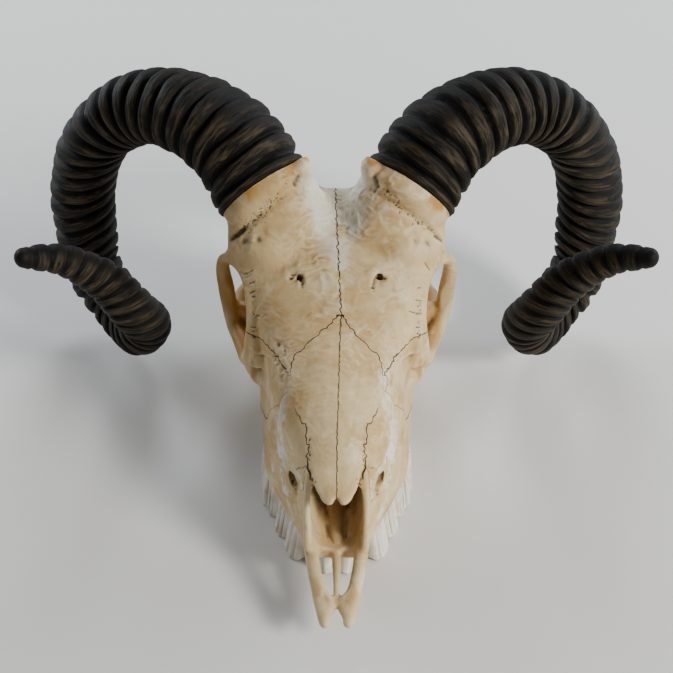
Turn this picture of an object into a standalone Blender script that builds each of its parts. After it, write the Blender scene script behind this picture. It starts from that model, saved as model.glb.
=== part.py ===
"""Ram skull with its horns, life size, without the lower jaw.

It lies as it rests on a flat surface: on the worn ends of its cheek teeth and on the two processes
behind the ears. Sizes are millimetres in the skull's own frame and become metres when a mesh is made.
+X is the skull's left, the nose points along -Y and +Z is up. Height 0 is the surface it rests on.
The bones of one skull are modelled whole and parted along their sutures by thin cuts.
"""
import math
from typing import NamedTuple

import bmesh
import bpy
import numpy as np
from mathutils import Matrix, Vector

METRES_PER_MM = 0.001
PART_NAME = "ram_skull"

# Clearance between touching pieces, and how finely the bone is worked
GAP = 0.3
VOXEL = 1.3
SMOOTH_ROUNDS = 3
BONE_FACES = 11500
MERGE = 0.0001
WELD = 0.000001

# Where the forehead swells into the foot of the left horn, and how far and how strongly it is blended
FOREHEAD = Vector((38, 46, 120))
BLEND_REACH = 46.0
BLEND_FULL = 24.0
BLEND_ROUNDS = 70


class FaceSection(NamedTuple):
    """Half outline of the face across the skull at one place along it."""
    y: float
    roof: float
    shoulder_x: float
    shoulder_z: float
    cheek_x: float
    cheek_z: float
    gum_x: float
    gum_z: float
    inner_x: float
    palate: float


class SkullSection(NamedTuple):
    """Half outline of the forehead and braincase at one place along the skull."""
    y: float
    roof: float
    ridge_x: float
    ridge_z: float
    side_x: float
    side_z: float
    floor_x: float
    floor: float


FACE = [
    FaceSection(-116, 31, 5, 30, 10, 27, 13, 20, 8, 20),
    FaceSection(-107, 50, 9, 47, 14, 35, 16, 19, 8, 21),
    FaceSection(-98, 68, 12, 63, 18, 42, 18.5, 19, 9, 22),
    FaceSection(-90, 76, 14, 71, 23, 44, 23, 20, 11, 24),
    FaceSection(-78, 82, 17, 77, 29, 47, 28.5, 21, 15, 28),
    FaceSection(-62, 90, 22, 83, 37, 46, 37.5, 23, 21, 31),
    FaceSection(-45, 97, 27, 88, 40.5, 44, 41, 24, 24, 33),
    FaceSection(-25, 103, 34, 92, 40.5, 54, 42, 26, 25, 34),
    FaceSection(-8, 110, 41, 98, 42, 62, 39, 30, 22, 36),
    FaceSection(6, 114, 42, 102, 34, 64, 28, 38, 14, 38),
]

SKULL = [
    SkullSection(-28, 101, 30, 93, 34, 70, 18, 36),
    SkullSection(-5, 111, 43, 97, 40, 74, 18, 35),
    SkullSection(11, 118, 50, 103, 37, 82, 17, 33),
    SkullSection(28, 125, 60, 108, 34, 84, 16, 31),
    SkullSection(44, 131, 62.5, 114, 33, 80, 16, 30),
    SkullSection(60, 134, 54, 119, 35, 76, 18, 29),
    SkullSection(76, 120, 34, 110, 36, 72, 20, 29),
    SkullSection(90, 101, 28, 95, 37, 66, 20, 29),
    SkullSection(100, 88, 30, 82, 38, 58, 18, 31),
    SkullSection(109, 70, 22, 66, 30, 52, 12, 35),
]

# Horn: the middle line of the left one, from the bone round behind and forward to the tip
HORN_WAY = [
    (41, 53, 138),
    (58, 62, 164),
    (80, 74, 174),
    (106, 89, 172),
    (133, 103, 152),
    (151, 114, 121),
    (158, 118, 93),
    (158, 115, 63),
    (154, 105, 43),
    (140, 88, 29),
    (124, 62, 28),
    (114, 40, 49),
    (117, 25, 73),
    (132, 10, 110),
    (149, -4, 132),
    (163, -18, 143),
]
HORN_GIRTH = [(0, 27.5), (30, 26), (60, 23), (90, 20.3), (125, 19.6), (192, 19.4), (225, 18.3),
              (290, 15.2), (335, 14), (362, 13), (385, 12), (405, 10.5), (436, 7.7), (452, 6.2), (461, 4.5)]
HORN_SIDES = 16
HORN_CUTS = (0.0, 0.26, 0.52, 0.76, 1.0)
HORN_LENGTHS = len(HORN_CUTS) - 1
HORN_GAP = 0.4

# Rings of the horn: place of the first crest, distance between crests, how high a crest stands, and how far
# a ring slides along the horn for each millimetre that its surface lies to the front or to the outer side
RING_FIRST = 1.5
RING_PITCH = 10.57
RING_END = 6.0
RING_CLEAR = 1.0
RING_HEIGHT = [(0, 1.5), (60, 1.6), (300, 1.2), (400, 0.7), (461, 0.3)]
FRONT_LEAN = [(0, 0.4), (60, 0.29), (90, 0.1), (120, -0.35), (150, 0.15), (180, 0.4), (350, 0.6),
              (390, 0.5), (461, 0.35)]
OUTER_LEAN = [(0, 0), (12, 0.28), (30, 0.03), (60, -0.17), (90, -0.2), (120, 0.19), (150, 0.68),
              (180, 0.4), (220, 0.46), (350, 0.8), (390, 0.35), (461, -0.1)]


def smooth_values(knots, values, places):
    """Values at the places on the smooth curve that runs through the values at the knots."""
    knots = np.asarray(knots, float)
    values = np.asarray(values, float)
    places = np.atleast_1d(np.asarray(places, float))
    flat = values.reshape(len(knots), -1)
    slopes = np.gradient(flat, knots, axis=0)
    at = np.clip(np.searchsorted(knots, places, side="right") - 1, 0, len(knots) - 2)
    step = (knots[at + 1] - knots[at])[:, None]
    u = (places[:, None] - knots[at][:, None]) / step
    start = (2 * u ** 3 - 3 * u ** 2 + 1) * flat[at] + (u ** 3 - 2 * u ** 2 + u) * step * slopes[at]
    end = (3 * u ** 2 - 2 * u ** 3) * flat[at + 1] + (u ** 3 - u ** 2) * step * slopes[at + 1]
    return (start + end).reshape((len(places),) + values.shape[1:])


def lengths_along(points):
    """Distance of each point from the first, measured along the points."""
    steps = np.linalg.norm(np.diff(points, axis=0), axis=1)
    return np.concatenate([[0.0], np.cumsum(steps)])


def closed_outline(points, count):
    """A smooth closed outline through the points, as count points spaced evenly along it."""
    points = np.asarray(points, float)
    wrap = 3
    padded = np.concatenate([points[-wrap:], points, points[:wrap + 1]])
    along = lengths_along(padded)
    places = np.linspace(along[wrap], along[wrap + len(points)], count, endpoint=False)
    return smooth_values(along, padded, places)


def new_object(name, verts, faces):
    """A mesh object in the part's collection, from points in millimetres."""
    mesh = bpy.data.meshes.new(name)
    mesh.from_pydata((np.asarray(verts, float) * METRES_PER_MM).tolist(), [], faces)
    body = bmesh.new()
    body.from_mesh(mesh)
    bmesh.ops.recalc_face_normals(body, faces=body.faces)
    body.to_mesh(mesh)
    body.free()
    thing = bpy.data.objects.new(name, mesh)
    bpy.data.collections[PART_NAME].objects.link(thing)
    return thing


def loft(name, rings):
    """A closed body through rings of equally many points, with a flat cap at each end."""
    rings = np.asarray(rings, float)
    count = rings.shape[1]
    faces = []
    for row in range(len(rings) - 1):
        for side in range(count):
            after = (side + 1) % count
            faces.append((row * count + side, row * count + after,
                          (row + 1) * count + after, (row + 1) * count + side))
    faces.append(tuple(range(count)))
    faces.append(tuple((len(rings) - 1) * count + side for side in reversed(range(count))))
    return new_object(name, rings.reshape(-1, 3), faces)


def section_loft(name, sections, half_outline, rows=40, sides=48):
    """A body through sections along the skull, each a half outline mirrored to the other side."""
    outlines = []
    for section in sections:
        half = np.array(half_outline(section), float)
        other = half[::-1][1:-1] * (-1, 1)
        outlines.append(np.concatenate([half, other]))
    knots = [section.y for section in sections]
    places = np.linspace(knots[0], knots[-1], rows)
    rings = []
    for y, outline in zip(places, smooth_values(knots, outlines, places)):
        ring = closed_outline(outline, sides)
        rings.append(np.column_stack([ring[:, 0], np.full(sides, y), ring[:, 1]]))
    return loft(name, rings)


def face_outline(section):
    """Points of a face section from the roof down the left side to the palate."""
    return [(0, section.roof), (section.shoulder_x, section.shoulder_z),
            (section.cheek_x, section.cheek_z), (section.gum_x, section.gum_z),
            (section.inner_x, section.gum_z), (0, section.palate)]


def skull_outline(section):
    """Points of a braincase section from the roof down the left side to the floor."""
    return [(0, section.roof), (section.ridge_x, section.ridge_z), (section.side_x, section.side_z),
            (section.floor_x, section.floor + 2), (0, section.floor)]


def ball(name, centre, radii):
    """An egg-shaped body."""
    bpy.ops.mesh.primitive_uv_sphere_add(segments=24, ring_count=16, radius=1)
    thing = bpy.context.object
    thing.name = name
    matrix = Matrix.Translation(Vector(centre) * METRES_PER_MM) @ Matrix.Diagonal(
        (*(Vector(radii) * METRES_PER_MM), 1))
    thing.data.transform(matrix)
    adopt(thing)
    return thing


def adopt(thing):
    """Moves an object into the part's collection."""
    for group in list(thing.users_collection):
        group.objects.unlink(thing)
    bpy.data.collections[PART_NAME].objects.link(thing)


def bar(name, way, radii, closed=False):
    """A round bar along a smooth way, as thick at each point as its radius says."""
    curve = bpy.data.curves.new(name, "CURVE")
    curve.dimensions = "3D"
    curve.bevel_depth = METRES_PER_MM
    curve.bevel_resolution = 4
    curve.use_fill_caps = not closed
    way = np.asarray(way, float)
    if closed:
        points = closed_outline(np.column_stack([way, radii]), 8 * len(way))
    else:
        along = lengths_along(way)
        places = np.linspace(0, along[-1], max(8, 6 * len(way)))
        points = smooth_values(along, np.column_stack([way, radii]), places)
    spline = curve.splines.new("POLY")
    spline.points.add(len(points) - 1)
    spline.use_cyclic_u = closed
    for point, (x, y, z, radius) in zip(spline.points, points):
        point.co = (x * METRES_PER_MM, y * METRES_PER_MM, z * METRES_PER_MM, 1)
        point.radius = radius
    holder = bpy.data.objects.new(name + "_curve", curve)
    bpy.data.collections[PART_NAME].objects.link(holder)
    bpy.context.view_layer.update()
    graph = bpy.context.evaluated_depsgraph_get()
    mesh = bpy.data.meshes.new_from_object(holder.evaluated_get(graph))
    bpy.data.objects.remove(holder)
    body = bmesh.new()
    body.from_mesh(mesh)
    bmesh.ops.remove_doubles(body, verts=body.verts, dist=MERGE * METRES_PER_MM)
    bmesh.ops.recalc_face_normals(body, faces=body.faces)
    body.to_mesh(mesh)
    body.free()
    thing = bpy.data.objects.new(name, mesh)
    bpy.data.collections[PART_NAME].objects.link(thing)
    return thing


def prism(name, outline, low, high, place):
    """A straight-sided body: an outline (a, b) between two levels, put in space by place(a, b, c)."""
    count = len(outline)
    verts = [place(a, b, low) for a, b in outline] + [place(a, b, high) for a, b in outline]
    faces = [tuple(range(count)), tuple(range(2 * count - 1, count - 1, -1))]
    faces += [(i, (i + 1) % count, count + (i + 1) % count, count + i) for i in range(count)]
    return new_object(name, verts, faces)


def both_sides(thing):
    """The object and its mirror image on the skull's right."""
    other = thing.copy()
    other.data = thing.data.copy()
    other.name = thing.name + "_right"
    other.data.transform(Matrix.Diagonal((-1, 1, 1, 1)))
    other.data.flip_normals()
    bpy.data.collections[PART_NAME].objects.link(other)
    return [thing, other]


def joined(name, things):
    """One object that holds the bodies of all the things, which may run through one another."""
    body = bmesh.new()
    for thing in things:
        body.from_mesh(thing.data)
        bpy.data.objects.remove(thing)
    mesh = bpy.data.meshes.new(name)
    body.to_mesh(mesh)
    body.free()
    result = bpy.data.objects.new(name, mesh)
    bpy.data.collections[PART_NAME].objects.link(result)
    return result


def apply_modifiers(thing):
    """Gives an object the mesh that its modifiers make of it, and drops them."""
    bpy.context.view_layer.update()
    graph = bpy.context.evaluated_depsgraph_get()
    mesh = bpy.data.meshes.new_from_object(thing.evaluated_get(graph))
    thing.modifiers.clear()
    thing.data = mesh


def remesh(thing, voxel):
    """Melts the bodies of an object into one skin of even faces."""
    modifier = thing.modifiers.new("melt", "REMESH")
    modifier.mode = "VOXEL"
    modifier.voxel_size = voxel * METRES_PER_MM
    apply_modifiers(thing)


def soften(thing, rounds):
    """Rounds the edges of an object's skin a little."""
    modifier = thing.modifiers.new("soften", "SMOOTH")
    modifier.factor = 0.5
    modifier.iterations = rounds
    apply_modifiers(thing)


def blend_forehead(thing):
    """Lets the forehead flow into the horns' feet by smoothing most near their middles."""
    group = thing.vertex_groups.new(name="forehead")
    for vert in thing.data.vertices:
        place = vert.co / METRES_PER_MM
        place.x = abs(place.x)
        weight = (BLEND_REACH - (place - FOREHEAD).length) / (BLEND_REACH - BLEND_FULL)
        if weight > 0:
            group.add([vert.index], min(weight, 1.0), "REPLACE")
    modifier = thing.modifiers.new("blend", "SMOOTH")
    modifier.vertex_group = group.name
    modifier.factor = 0.5
    modifier.iterations = BLEND_ROUNDS
    apply_modifiers(thing)


def combine(thing, others, operation, solver="EXACT"):
    """Cuts an object by others or meets it with them, one after another; the others stay."""
    for other in others:
        modifier = thing.modifiers.new(operation.lower(), "BOOLEAN")
        modifier.operation = operation
        modifier.solver = solver
        modifier.object = other
        apply_modifiers(thing)


def fuse(thing, others):
    """Joins an object with others by one union, and takes the others out of the file."""
    group = bpy.data.collections.new(thing.name + "_fused")
    bpy.context.scene.collection.children.link(group)
    for other in others:
        group.objects.link(other)
    modifier = thing.modifiers.new("fuse", "BOOLEAN")
    modifier.operand_type = "COLLECTION"
    modifier.collection = group
    modifier.operation = "UNION"
    apply_modifiers(thing)
    remove_all(others)
    bpy.data.collections.remove(group)


def remove_all(things):
    """Takes helper objects out of the file."""
    for thing in things:
        bpy.data.objects.remove(thing)


def keep_largest(thing):
    """Keeps an object's largest closed surface and drops loose scraps."""
    body = bmesh.new()
    body.from_mesh(thing.data)
    bmesh.ops.remove_doubles(body, verts=body.verts, dist=1e-7)
    body.verts.ensure_lookup_table()
    seen = set()
    shells = []
    for start in body.verts:
        if start.index in seen:
            continue
        shell = [start]
        seen.add(start.index)
        for vert in shell:
            for edge in vert.link_edges:
                near = edge.other_vert(vert)
                if near.index not in seen:
                    seen.add(near.index)
                    shell.append(near)
        shells.append(shell)
    shells.sort(key=len)
    for shell in shells[:-1]:
        bmesh.ops.delete(body, geom=shell, context="VERTS")
    bmesh.ops.triangulate(body, faces=body.faces)
    body.to_mesh(thing.data)
    body.free()


def duplicate(thing, name):
    """A copy of an object with a mesh of its own."""
    copy = thing.copy()
    copy.data = thing.data.copy()
    copy.name = name
    bpy.data.collections[PART_NAME].objects.link(copy)
    return copy


def orbit_rim():
    """The bony ring round the left orbit."""
    way = [(49.5, 12, 102.5), (46.5, -3, 90), (47.5, -8, 75), (49.5, -4, 62),
           (54, 13, 56.5), (59, 30, 59), (63.2, 38, 80), (63.5, 35, 103), (56, 25, 106.5)]
    radii = [3.2, 3.6, 4.5, 5.2, 5, 4.6, 4.8, 4.2, 3.2]
    return bar("orbit_rim", way, radii, closed=True)


def cheek_arch():
    """The left cheek arch, from the orbit's lower rim back to the braincase."""
    way = [(49, 2, 54), (55.5, 22, 54.5), (60, 38, 55), (60.5, 54, 55), (54, 68, 57), (42, 80, 60)]
    return bar("cheek_arch", way, [4.5, 4.8, 4.4, 4.2, 4.6, 7])


def cheek_swelling():
    """The swelling of the left cheek below the orbit, which carries the back teeth."""
    return bar("cheek_swelling", [(33, -58, 36), (33, -38, 40), (35.5, -20, 47), (40, -7, 52), (48, 6, 54)],
               [6.5, 7.3, 7.6, 8, 7])


def orbit_floor():
    """The floor of the left orbit, which hides what lies below it."""
    way = [(40, -8, 56), (46, 8, 51), (51, 24, 52), (54.5, 36, 53), (56, 47, 52)]
    return bar("orbit_floor", way, [10, 8.5, 7, 6, 5])


def horn_core():
    """The left horn's bony core up to the rim of the horn."""
    base = horn_frame(0.0)
    way = [base.origin - base.along * 36, base.origin - base.along * 14, base.origin,
           base.origin + base.along * 22]
    return bar("horn_core", [tuple(point) for point in way], [27, 27.5, 27, 26])


def horn_foot():
    """The swelling of the left forehead that the horn's core rises from."""
    return ball("horn_foot", (37, 42, 116), (25, 30, 18))


def nasal_plates():
    """The free ends of the two nasal bones, each running out to a point."""
    tip_rows = 14
    rings = []
    for side in (-1, 1):
        rows = []
        for u in np.linspace(66, 106, tip_rows):
            half = float(smooth_values([66, 80, 92, 100, 106], [14.5, 13.5, 11, 8, 1.6], u)[0])
            inner = float(np.interp(u, [66, 99, 106], [-1.2, -1.2, 2.2]))
            outer = inner + half if u > 100 else half
            rows.append([nasal_place(side * (inner + (outer - inner) * share),
                                     u, -2.6 * share ** 2 * (half / 14) - lift)
                         for share, lift in ((0, 0), (0.5, -0.4), (1, 0), (1, 2.8), (0.5, 3), (0, 3.2))])
        rings.append(rows)
    return [loft("nasal_tip", rows) for rows in rings]


NASION = Vector((0, -19, 106))
NASAL_TIP = Vector((0, -115, 60.5))
NASAL_LINE = (NASAL_TIP - NASION).normalized()
NASAL_UP = Vector((0, NASAL_LINE.z, -NASAL_LINE.y))


def nasal_place(x, u, height):
    """A point beside, along and above the line of the nasal bones."""
    return NASION + NASAL_LINE * u + NASAL_UP * height + Vector((x, 0, 0))


class PlateSection(NamedTuple):
    """A flat strip of bone across the skull: where it lies and how far in and out, low and high it goes."""
    y: float
    inner_x: float
    outer_x: float
    low: float
    high: float


PREMAXILLA = [
    PlateSection(-102, 10, 17.5, 26, 38),
    PlateSection(-112, 9.6, 17.4, 23.5, 35),
    PlateSection(-120, 8.8, 16.2, 21.5, 31),
    PlateSection(-130, 7.2, 14.6, 19.5, 27),
    PlateSection(-138, 5, 13, 18, 25),
    PlateSection(-145, 0.6, 11.7, 17, 23.3),
    PlateSection(-148, 0.6, 10.9, 16.2, 22.3),
    PlateSection(-153, 2.9, 9.6, 15.8, 21.4),
    PlateSection(-157, 3.6, 8.2, 15.8, 20.4),
    PlateSection(-160, 4.8, 7, 16.6, 19.4),
]


def premaxilla_bars():
    """The left premaxilla: its body, its rising process and half of its inner spike."""
    rows = PREMAXILLA
    outlines = []
    for row in rows:
        middle = (row.low + row.high) / 2
        centre = (row.inner_x + row.outer_x) / 2
        outlines.append([(row.inner_x, middle), (row.inner_x + 1, row.high - 1), (centre, row.high),
                         (row.outer_x - 1, row.high - 1.2), (row.outer_x, middle),
                         (row.outer_x - 1, row.low + 1), (centre, row.low), (row.inner_x + 1, row.low + 1)])
    places = np.linspace(rows[0].y, rows[-1].y, 36)
    rings = []
    for y, outline in zip(places, smooth_values([row.y for row in rows][::-1], outlines[::-1], places)):
        ring = closed_outline(outline, 24)
        rings.append(np.column_stack([ring[:, 0], np.full(len(ring), y), ring[:, 1]]))
    body = loft("premaxilla_body", rings)
    rising = bar("premaxilla_rise", [(14.4, -119, 30), (15.2, -110, 41), (14.8, -101, 53), (13.2, -93, 65)],
                 [2.6, 2.4, 2.3, 2.6])
    spike = bar("premaxilla_spike", [(0.8, -98, 24), (0.8, -118, 23.5), (0.6, -134, 21.5), (0.6, -146, 19.5)],
                [3.6, 2.2, 1.5, 1.6])
    return [body, rising, spike]


def rear_forms():
    """Forms of the left rear of the skull: condyle, ear region, processes and crest."""
    condyle = bar("condyle", [(7, 108, 33), (13, 114, 38), (15, 112, 52)], [6, 8, 6])
    bulla = ball("bulla", (22, 84, 25), (8, 11, 10))
    ear = bar("ear_tube", [(26, 86, 38), (40, 84, 46)], [8, 5])
    mastoid = bar("mastoid", [(34, 96, 68), (37, 99, 50), (33, 100, 34)], [6, 7, 7])
    process = bar("paroccipital", [(33, 100, 36), (29.5, 101, 16), (28, 99, -3)], [6.5, 4.6, 3])
    crest = bar("nape_crest", [(0, 101, 88), (18, 101, 84), (33, 98, 70)], [6, 5.5, 5])
    wing = bar("pterygoid", [(13, 4, 40), (12, 16, 26), (11, 34, 24), (11, 48, 32)], [3, 2.6, 2.4, 3])
    root = bar("arch_root", [(33, 74, 60), (46, 72, 58), (52, 66, 60)], [9, 7, 5])
    return [condyle, bulla, ear, mastoid, process, crest, wing, root]


def base_bar():
    """The bar of bone along the middle of the skull's base."""
    return bar("base_bar", [(0, 30, 38), (0, 60, 33), (0, 90, 33), (0, 110, 36)], [8, 9, 10, 10])


def added_forms():
    """Every body that the skull's bone is melted from."""
    forms = [section_loft("face", FACE, face_outline),
             section_loft("braincase", SKULL, skull_outline),
             base_bar()]
    forms += nasal_plates()
    left = [orbit_rim(), orbit_floor(), cheek_arch(), cheek_swelling(), horn_foot(), horn_core()]
    left += premaxilla_bars()
    left += rear_forms()
    for form in left:
        forms += both_sides(form)
    return forms


def nasal_hollow():
    """The open space of the nose, from its mouth to where no light reaches."""
    rows = [(-126, 26, 40, 8), (-112, 27.5, 57, 12.5), (-100, 29, 62.5, 14), (-88, 31, 69, 14.5),
            (-70, 35, 76.5, 14), (-52, 42, 81, 12), (-42, 50, 80, 8)]
    outlines = []
    for y, low, high, half in rows:
        middle = (low + high) / 2
        outlines.append([(0, y, high), (half * 0.75, y, high - 3), (half, y, middle),
                         (half * 0.7, y, low + 2), (0, y, low),
                         (-half * 0.7, y, low + 2), (-half, y, middle), (-half * 0.75, y, high - 3)])
    places = np.linspace(rows[0][0], rows[-1][0], 20)
    outlines = smooth_values([row[0] for row in rows], outlines, places)
    return loft("nasal_hollow", [closed_outline(outline, 24) for outline in outlines])


def hollow_forms():
    """Every body that is carved out of the skull's bone."""
    left = [
        bar("orbit_bowl", [(40, 14, 80), (56, 15, 80), (76, 17, 80)], [14, 18.5, 19]),
        bar("temple", [(49, 34, 89), (48, 48, 86), (48, 66, 78)], [10, 13, 12]),
        ball("lacrimal_pit", (47.5, -26, 65), (9, 15, 12)),
        bar("infraorbital", [(28, -97, 49), (17, -78, 54)], [2.6, 2.0]),
        bar("brow_hole", [(23, 0, 119), (23, 7, 107)], [2.4, 2]),
    ]
    holes = [nasal_hollow(),
             bar("foramen_magnum", [(0, 130, 49), (0, 104, 52), (0, 84, 56)], [10.5, 10, 9]),
             bar("choana", [(0, 26, 36), (0, 8, 44), (0, -8, 50)], [8, 9, 8])]
    for form in left:
        holes += both_sides(form)
    return holes


# Middle of the left horn's curl, and the direction that its rings' front lean is measured towards
HORN_HUB = Vector((95, 80, 95))
FRONT_UP = Vector((0, -0.77, 0.64))


class HornFrame(NamedTuple):
    """The middle point of a horn and its three directions at one place along it."""
    origin: Vector
    along: Vector
    out: Vector
    across: Vector

    def rim_point(self, angle, radius, place):
        """A point on the horn's surface, slid along the horn by the lean that its rings have at a place."""
        aside = (self.out * math.cos(angle) + self.across * math.sin(angle)) * radius
        front = read_table(FRONT_LEAN, place) * aside.dot(FRONT_UP)
        outer = read_table(OUTER_LEAN, place) * aside.dot(self.out)
        return self.origin + aside + self.along * (front + outer)


HORN_POINTS = np.array(HORN_WAY, float)
HORN_KNOTS = lengths_along(HORN_POINTS)
HORN_LENGTH = float(HORN_KNOTS[-1])


def horn_frame(distance):
    """The left horn's frame at a distance from the bone."""
    step = 0.5
    near, at, far = smooth_values(HORN_KNOTS, HORN_POINTS, [distance - step, distance, distance + step])
    along = Vector(far - near).normalized()
    out = Vector(at) - HORN_HUB
    out = (out - along * out.dot(along)).normalized()
    return HornFrame(Vector(at), along, out, along.cross(out))


def read_table(table, place):
    """A value between the rows (distance, value) of a table."""
    knots, values = zip(*table)
    return float(np.interp(place, knots, values))


def ring_places():
    """Distances of the horn's ring crests and of the grooves between them."""
    places = []
    at = RING_FIRST
    while at < HORN_LENGTH - RING_END:
        places.append((at, 1.0))
        places.append((at + RING_PITCH / 2, -1.0))
        at += RING_PITCH
    return places


def horn_ring(distance, swell):
    """One ring of points round the left horn, swelled at a crest and drawn in at a groove."""
    frame = horn_frame(distance)
    radius = read_table(HORN_GIRTH, distance) + swell * read_table(RING_HEIGHT, distance)
    return [frame.rim_point(2 * math.pi * side / HORN_SIDES, radius, distance) for side in range(HORN_SIDES)]


def horn_lengths():
    """The left horn's lengths, numbered from the bone to the tip, with a thin gap between them."""
    crests = ring_places()
    lengths = []
    for number in range(HORN_LENGTHS):
        start = HORN_CUTS[number] * HORN_LENGTH + (HORN_GAP / 2 if number else 0)
        end = HORN_CUTS[number + 1] * HORN_LENGTH - (HORN_GAP / 2 if number < HORN_LENGTHS - 1 else 0)
        rows = [(start, 0.0)]
        rows += [(at, swell) for at, swell in crests if start + RING_CLEAR < at < end - RING_CLEAR]
        rows.append((end, 0.0))
        rings = [horn_ring(at, swell) for at, swell in rows]
        if number == HORN_LENGTHS - 1:
            tip = horn_frame(end)
            radius = read_table(HORN_GIRTH, end)
            for rise, share in ((0.5, 0.86), (0.85, 0.52)):
                rings.append([tip.origin + tip.along * radius * rise + (Vector(point) - tip.origin) * share
                              for point in rings[len(rows) - 1]])
        lengths.append(loft("horn_left_" + str(number + 1), rings))
    return lengths


def horn_room():
    """The space that the left horn's base takes, with clearance, for cutting the bone clear of it."""
    rings = []
    for place in np.linspace(-GAP, 70, 12):
        frame = horn_frame(max(place, 0))
        shift = frame.along * min(place, 0)
        radius = read_table(HORN_GIRTH, place) + 5
        rings.append([frame.rim_point(turn, radius, place) + shift
                      for turn in np.linspace(0, 2 * math.pi, 32, endpoint=False)])
    return loft("horn_room", rings)


class Tooth(NamedTuple):
    """A cheek tooth: its length along the row, half its width and how far its worn end leans out."""
    name: str
    length: float
    half_width: float
    lean: float


TOOTH_LINE = [(34.5, -8), (34.8, -30), (34, -52), (23, -74), (14, -91), (8, -97)]
TEETH = [Tooth("M3", 22, 7.2, 0.8), Tooth("M2", 21, 7.4, 1.0), Tooth("M1", 17.5, 7.2, 2.2),
         Tooth("P4", 14.5, 6.6, 4.6), Tooth("P3", 13.5, 6, 5.6), Tooth("P2", 14, 4.6, 4.6)]
TOOTH_TOP = 27.0
TOOTH_GAP = 0.8
TOOTH_LOBES = (0.72, 1.0, 0.84, 1.0, 0.72)


def tooth_form(tooth, start):
    """One cheek tooth of two lobes from a place along the row, worn flat at the bottom."""
    line = np.array(TOOTH_LINE, float)
    knots = lengths_along(line)
    places = np.linspace(start + TOOTH_GAP / 2, start + tooth.length - TOOTH_GAP / 2, len(TOOTH_LOBES))
    centres = smooth_values(knots, line, places)
    ahead = smooth_values(knots, line, places + 0.5) - smooth_values(knots, line, places - 0.5)
    ahead /= np.linalg.norm(ahead, axis=1)[:, None]
    outward = np.column_stack([-ahead[:, 1], ahead[:, 0]])
    rings = []
    for z, grow, share in ((0, 1.0, 1.0), (10, 1.02, 0.6), (TOOTH_TOP, 0.9, -0.1)):
        middles = centres + outward * tooth.lean * share
        widths = outward * tooth.half_width * grow * np.array(TOOTH_LOBES)[:, None]
        ring = np.concatenate([middles + widths, (middles - widths)[::-1]])
        rings.append(np.column_stack([ring, np.full(len(ring), z)]))
    return loft("tooth_" + tooth.name, rings)


def teeth():
    """The six cheek teeth of the left row."""
    row = []
    at = 0.0
    for tooth in TEETH:
        row.append(tooth_form(tooth, at))
        at += tooth.length
    return row


def spread(outline, by):
    """A flat outline, given in turning order, moved outward by a distance all round."""
    points = np.asarray(outline, float)
    before = points - np.roll(points, 1, axis=0)
    after = np.roll(points, -1, axis=0) - points
    before /= np.linalg.norm(before, axis=1)[:, None]
    after /= np.linalg.norm(after, axis=1)[:, None]
    turn = np.sign(np.sum(before[:, 0] * after[:, 1] - before[:, 1] * after[:, 0]))
    normals_before = turn * np.column_stack([before[:, 1], -before[:, 0]])
    normals_after = turn * np.column_stack([after[:, 1], -after[:, 0]])
    corner = normals_before + normals_after
    corner /= np.sum(corner * normals_after, axis=1)[:, None]
    return points + corner * by


# Outlines of the bones: the nasal bone (across, along it), the others seen from the side (y, z)
NASAL_OUTLINE = [(0, 0), (26, 31), (21.8, 50), (16.5, 64), (15, 76), (14.8, 86), (12.6, 91), (11.4, 97),
                 (11.4, 116), (0, 116)]
NASAL_DEPTH = 6.5
NASAL_CLEAR = 14.0
CHEEK_OUTLINE = [(-8, 85), (-22, 84), (-34, 78), (-44, 62), (-39, 45), (-20, 37), (0, 41), (30, 44),
                 (52, 46), (52, 66), (47, 82), (10, 82)]
CHEEK_INNER = 28.0
OUTER_REACH = 90.0
PREMAXILLA_OUTLINE = [(-120.3, 0), (-76.9, 105), (-170, 105), (-170, 0)]
MAXILLA_OUTLINE = [(-120.3, 0), (20.2, 0), (-53, 105), (-76.9, 105)]
AHEAD_OUTLINE = [(20.2, 0), (-53, 105), (-170, 105), (-170, 0)]
FRONTAL_OUTLINE = [(-35.6, 80), (56, 80), (72, 96), (80, 125), (80, 200), (-53, 200), (-53, 105)]
GROUND_OUTLINE = [(-90, -200), (90, -200), (90, 200), (-90, 200)]
GROUND_DEPTH = 30.0


def nasal_region(by):
    """The space of the left nasal bone, spread or shrunk by a distance."""
    return prism("nasal_region", spread(NASAL_OUTLINE, by), -NASAL_DEPTH - by, NASAL_CLEAR, nasal_place)


def side_region(name, outline, inner, by):
    """A space on the left with a given outline seen from the side, spread or shrunk by a distance."""
    return prism(name, spread(outline, by), inner - by, OUTER_REACH, lambda y, z, x: (x, y, z))


def cheek_region(by):
    """The space of the left cheek bone and tear bone."""
    return side_region("cheek_region", CHEEK_OUTLINE, CHEEK_INNER, by)


def frontal_region(by):
    """The space of the left frontal bone and the horn core that grows from it."""
    return side_region("frontal_region", FRONTAL_OUTLINE, 0, by)


def piece(name, bone, regions_in, regions_out):
    """The part of the bone inside some spaces and outside others, as an object of its own."""
    result = duplicate(bone, name)
    for region in regions_in:
        combine(result, [region], "INTERSECT")
    if regions_out:
        combine(result, regions_out, "DIFFERENCE")
    remove_all(regions_in + regions_out)
    keep_largest(result)
    return result


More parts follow.
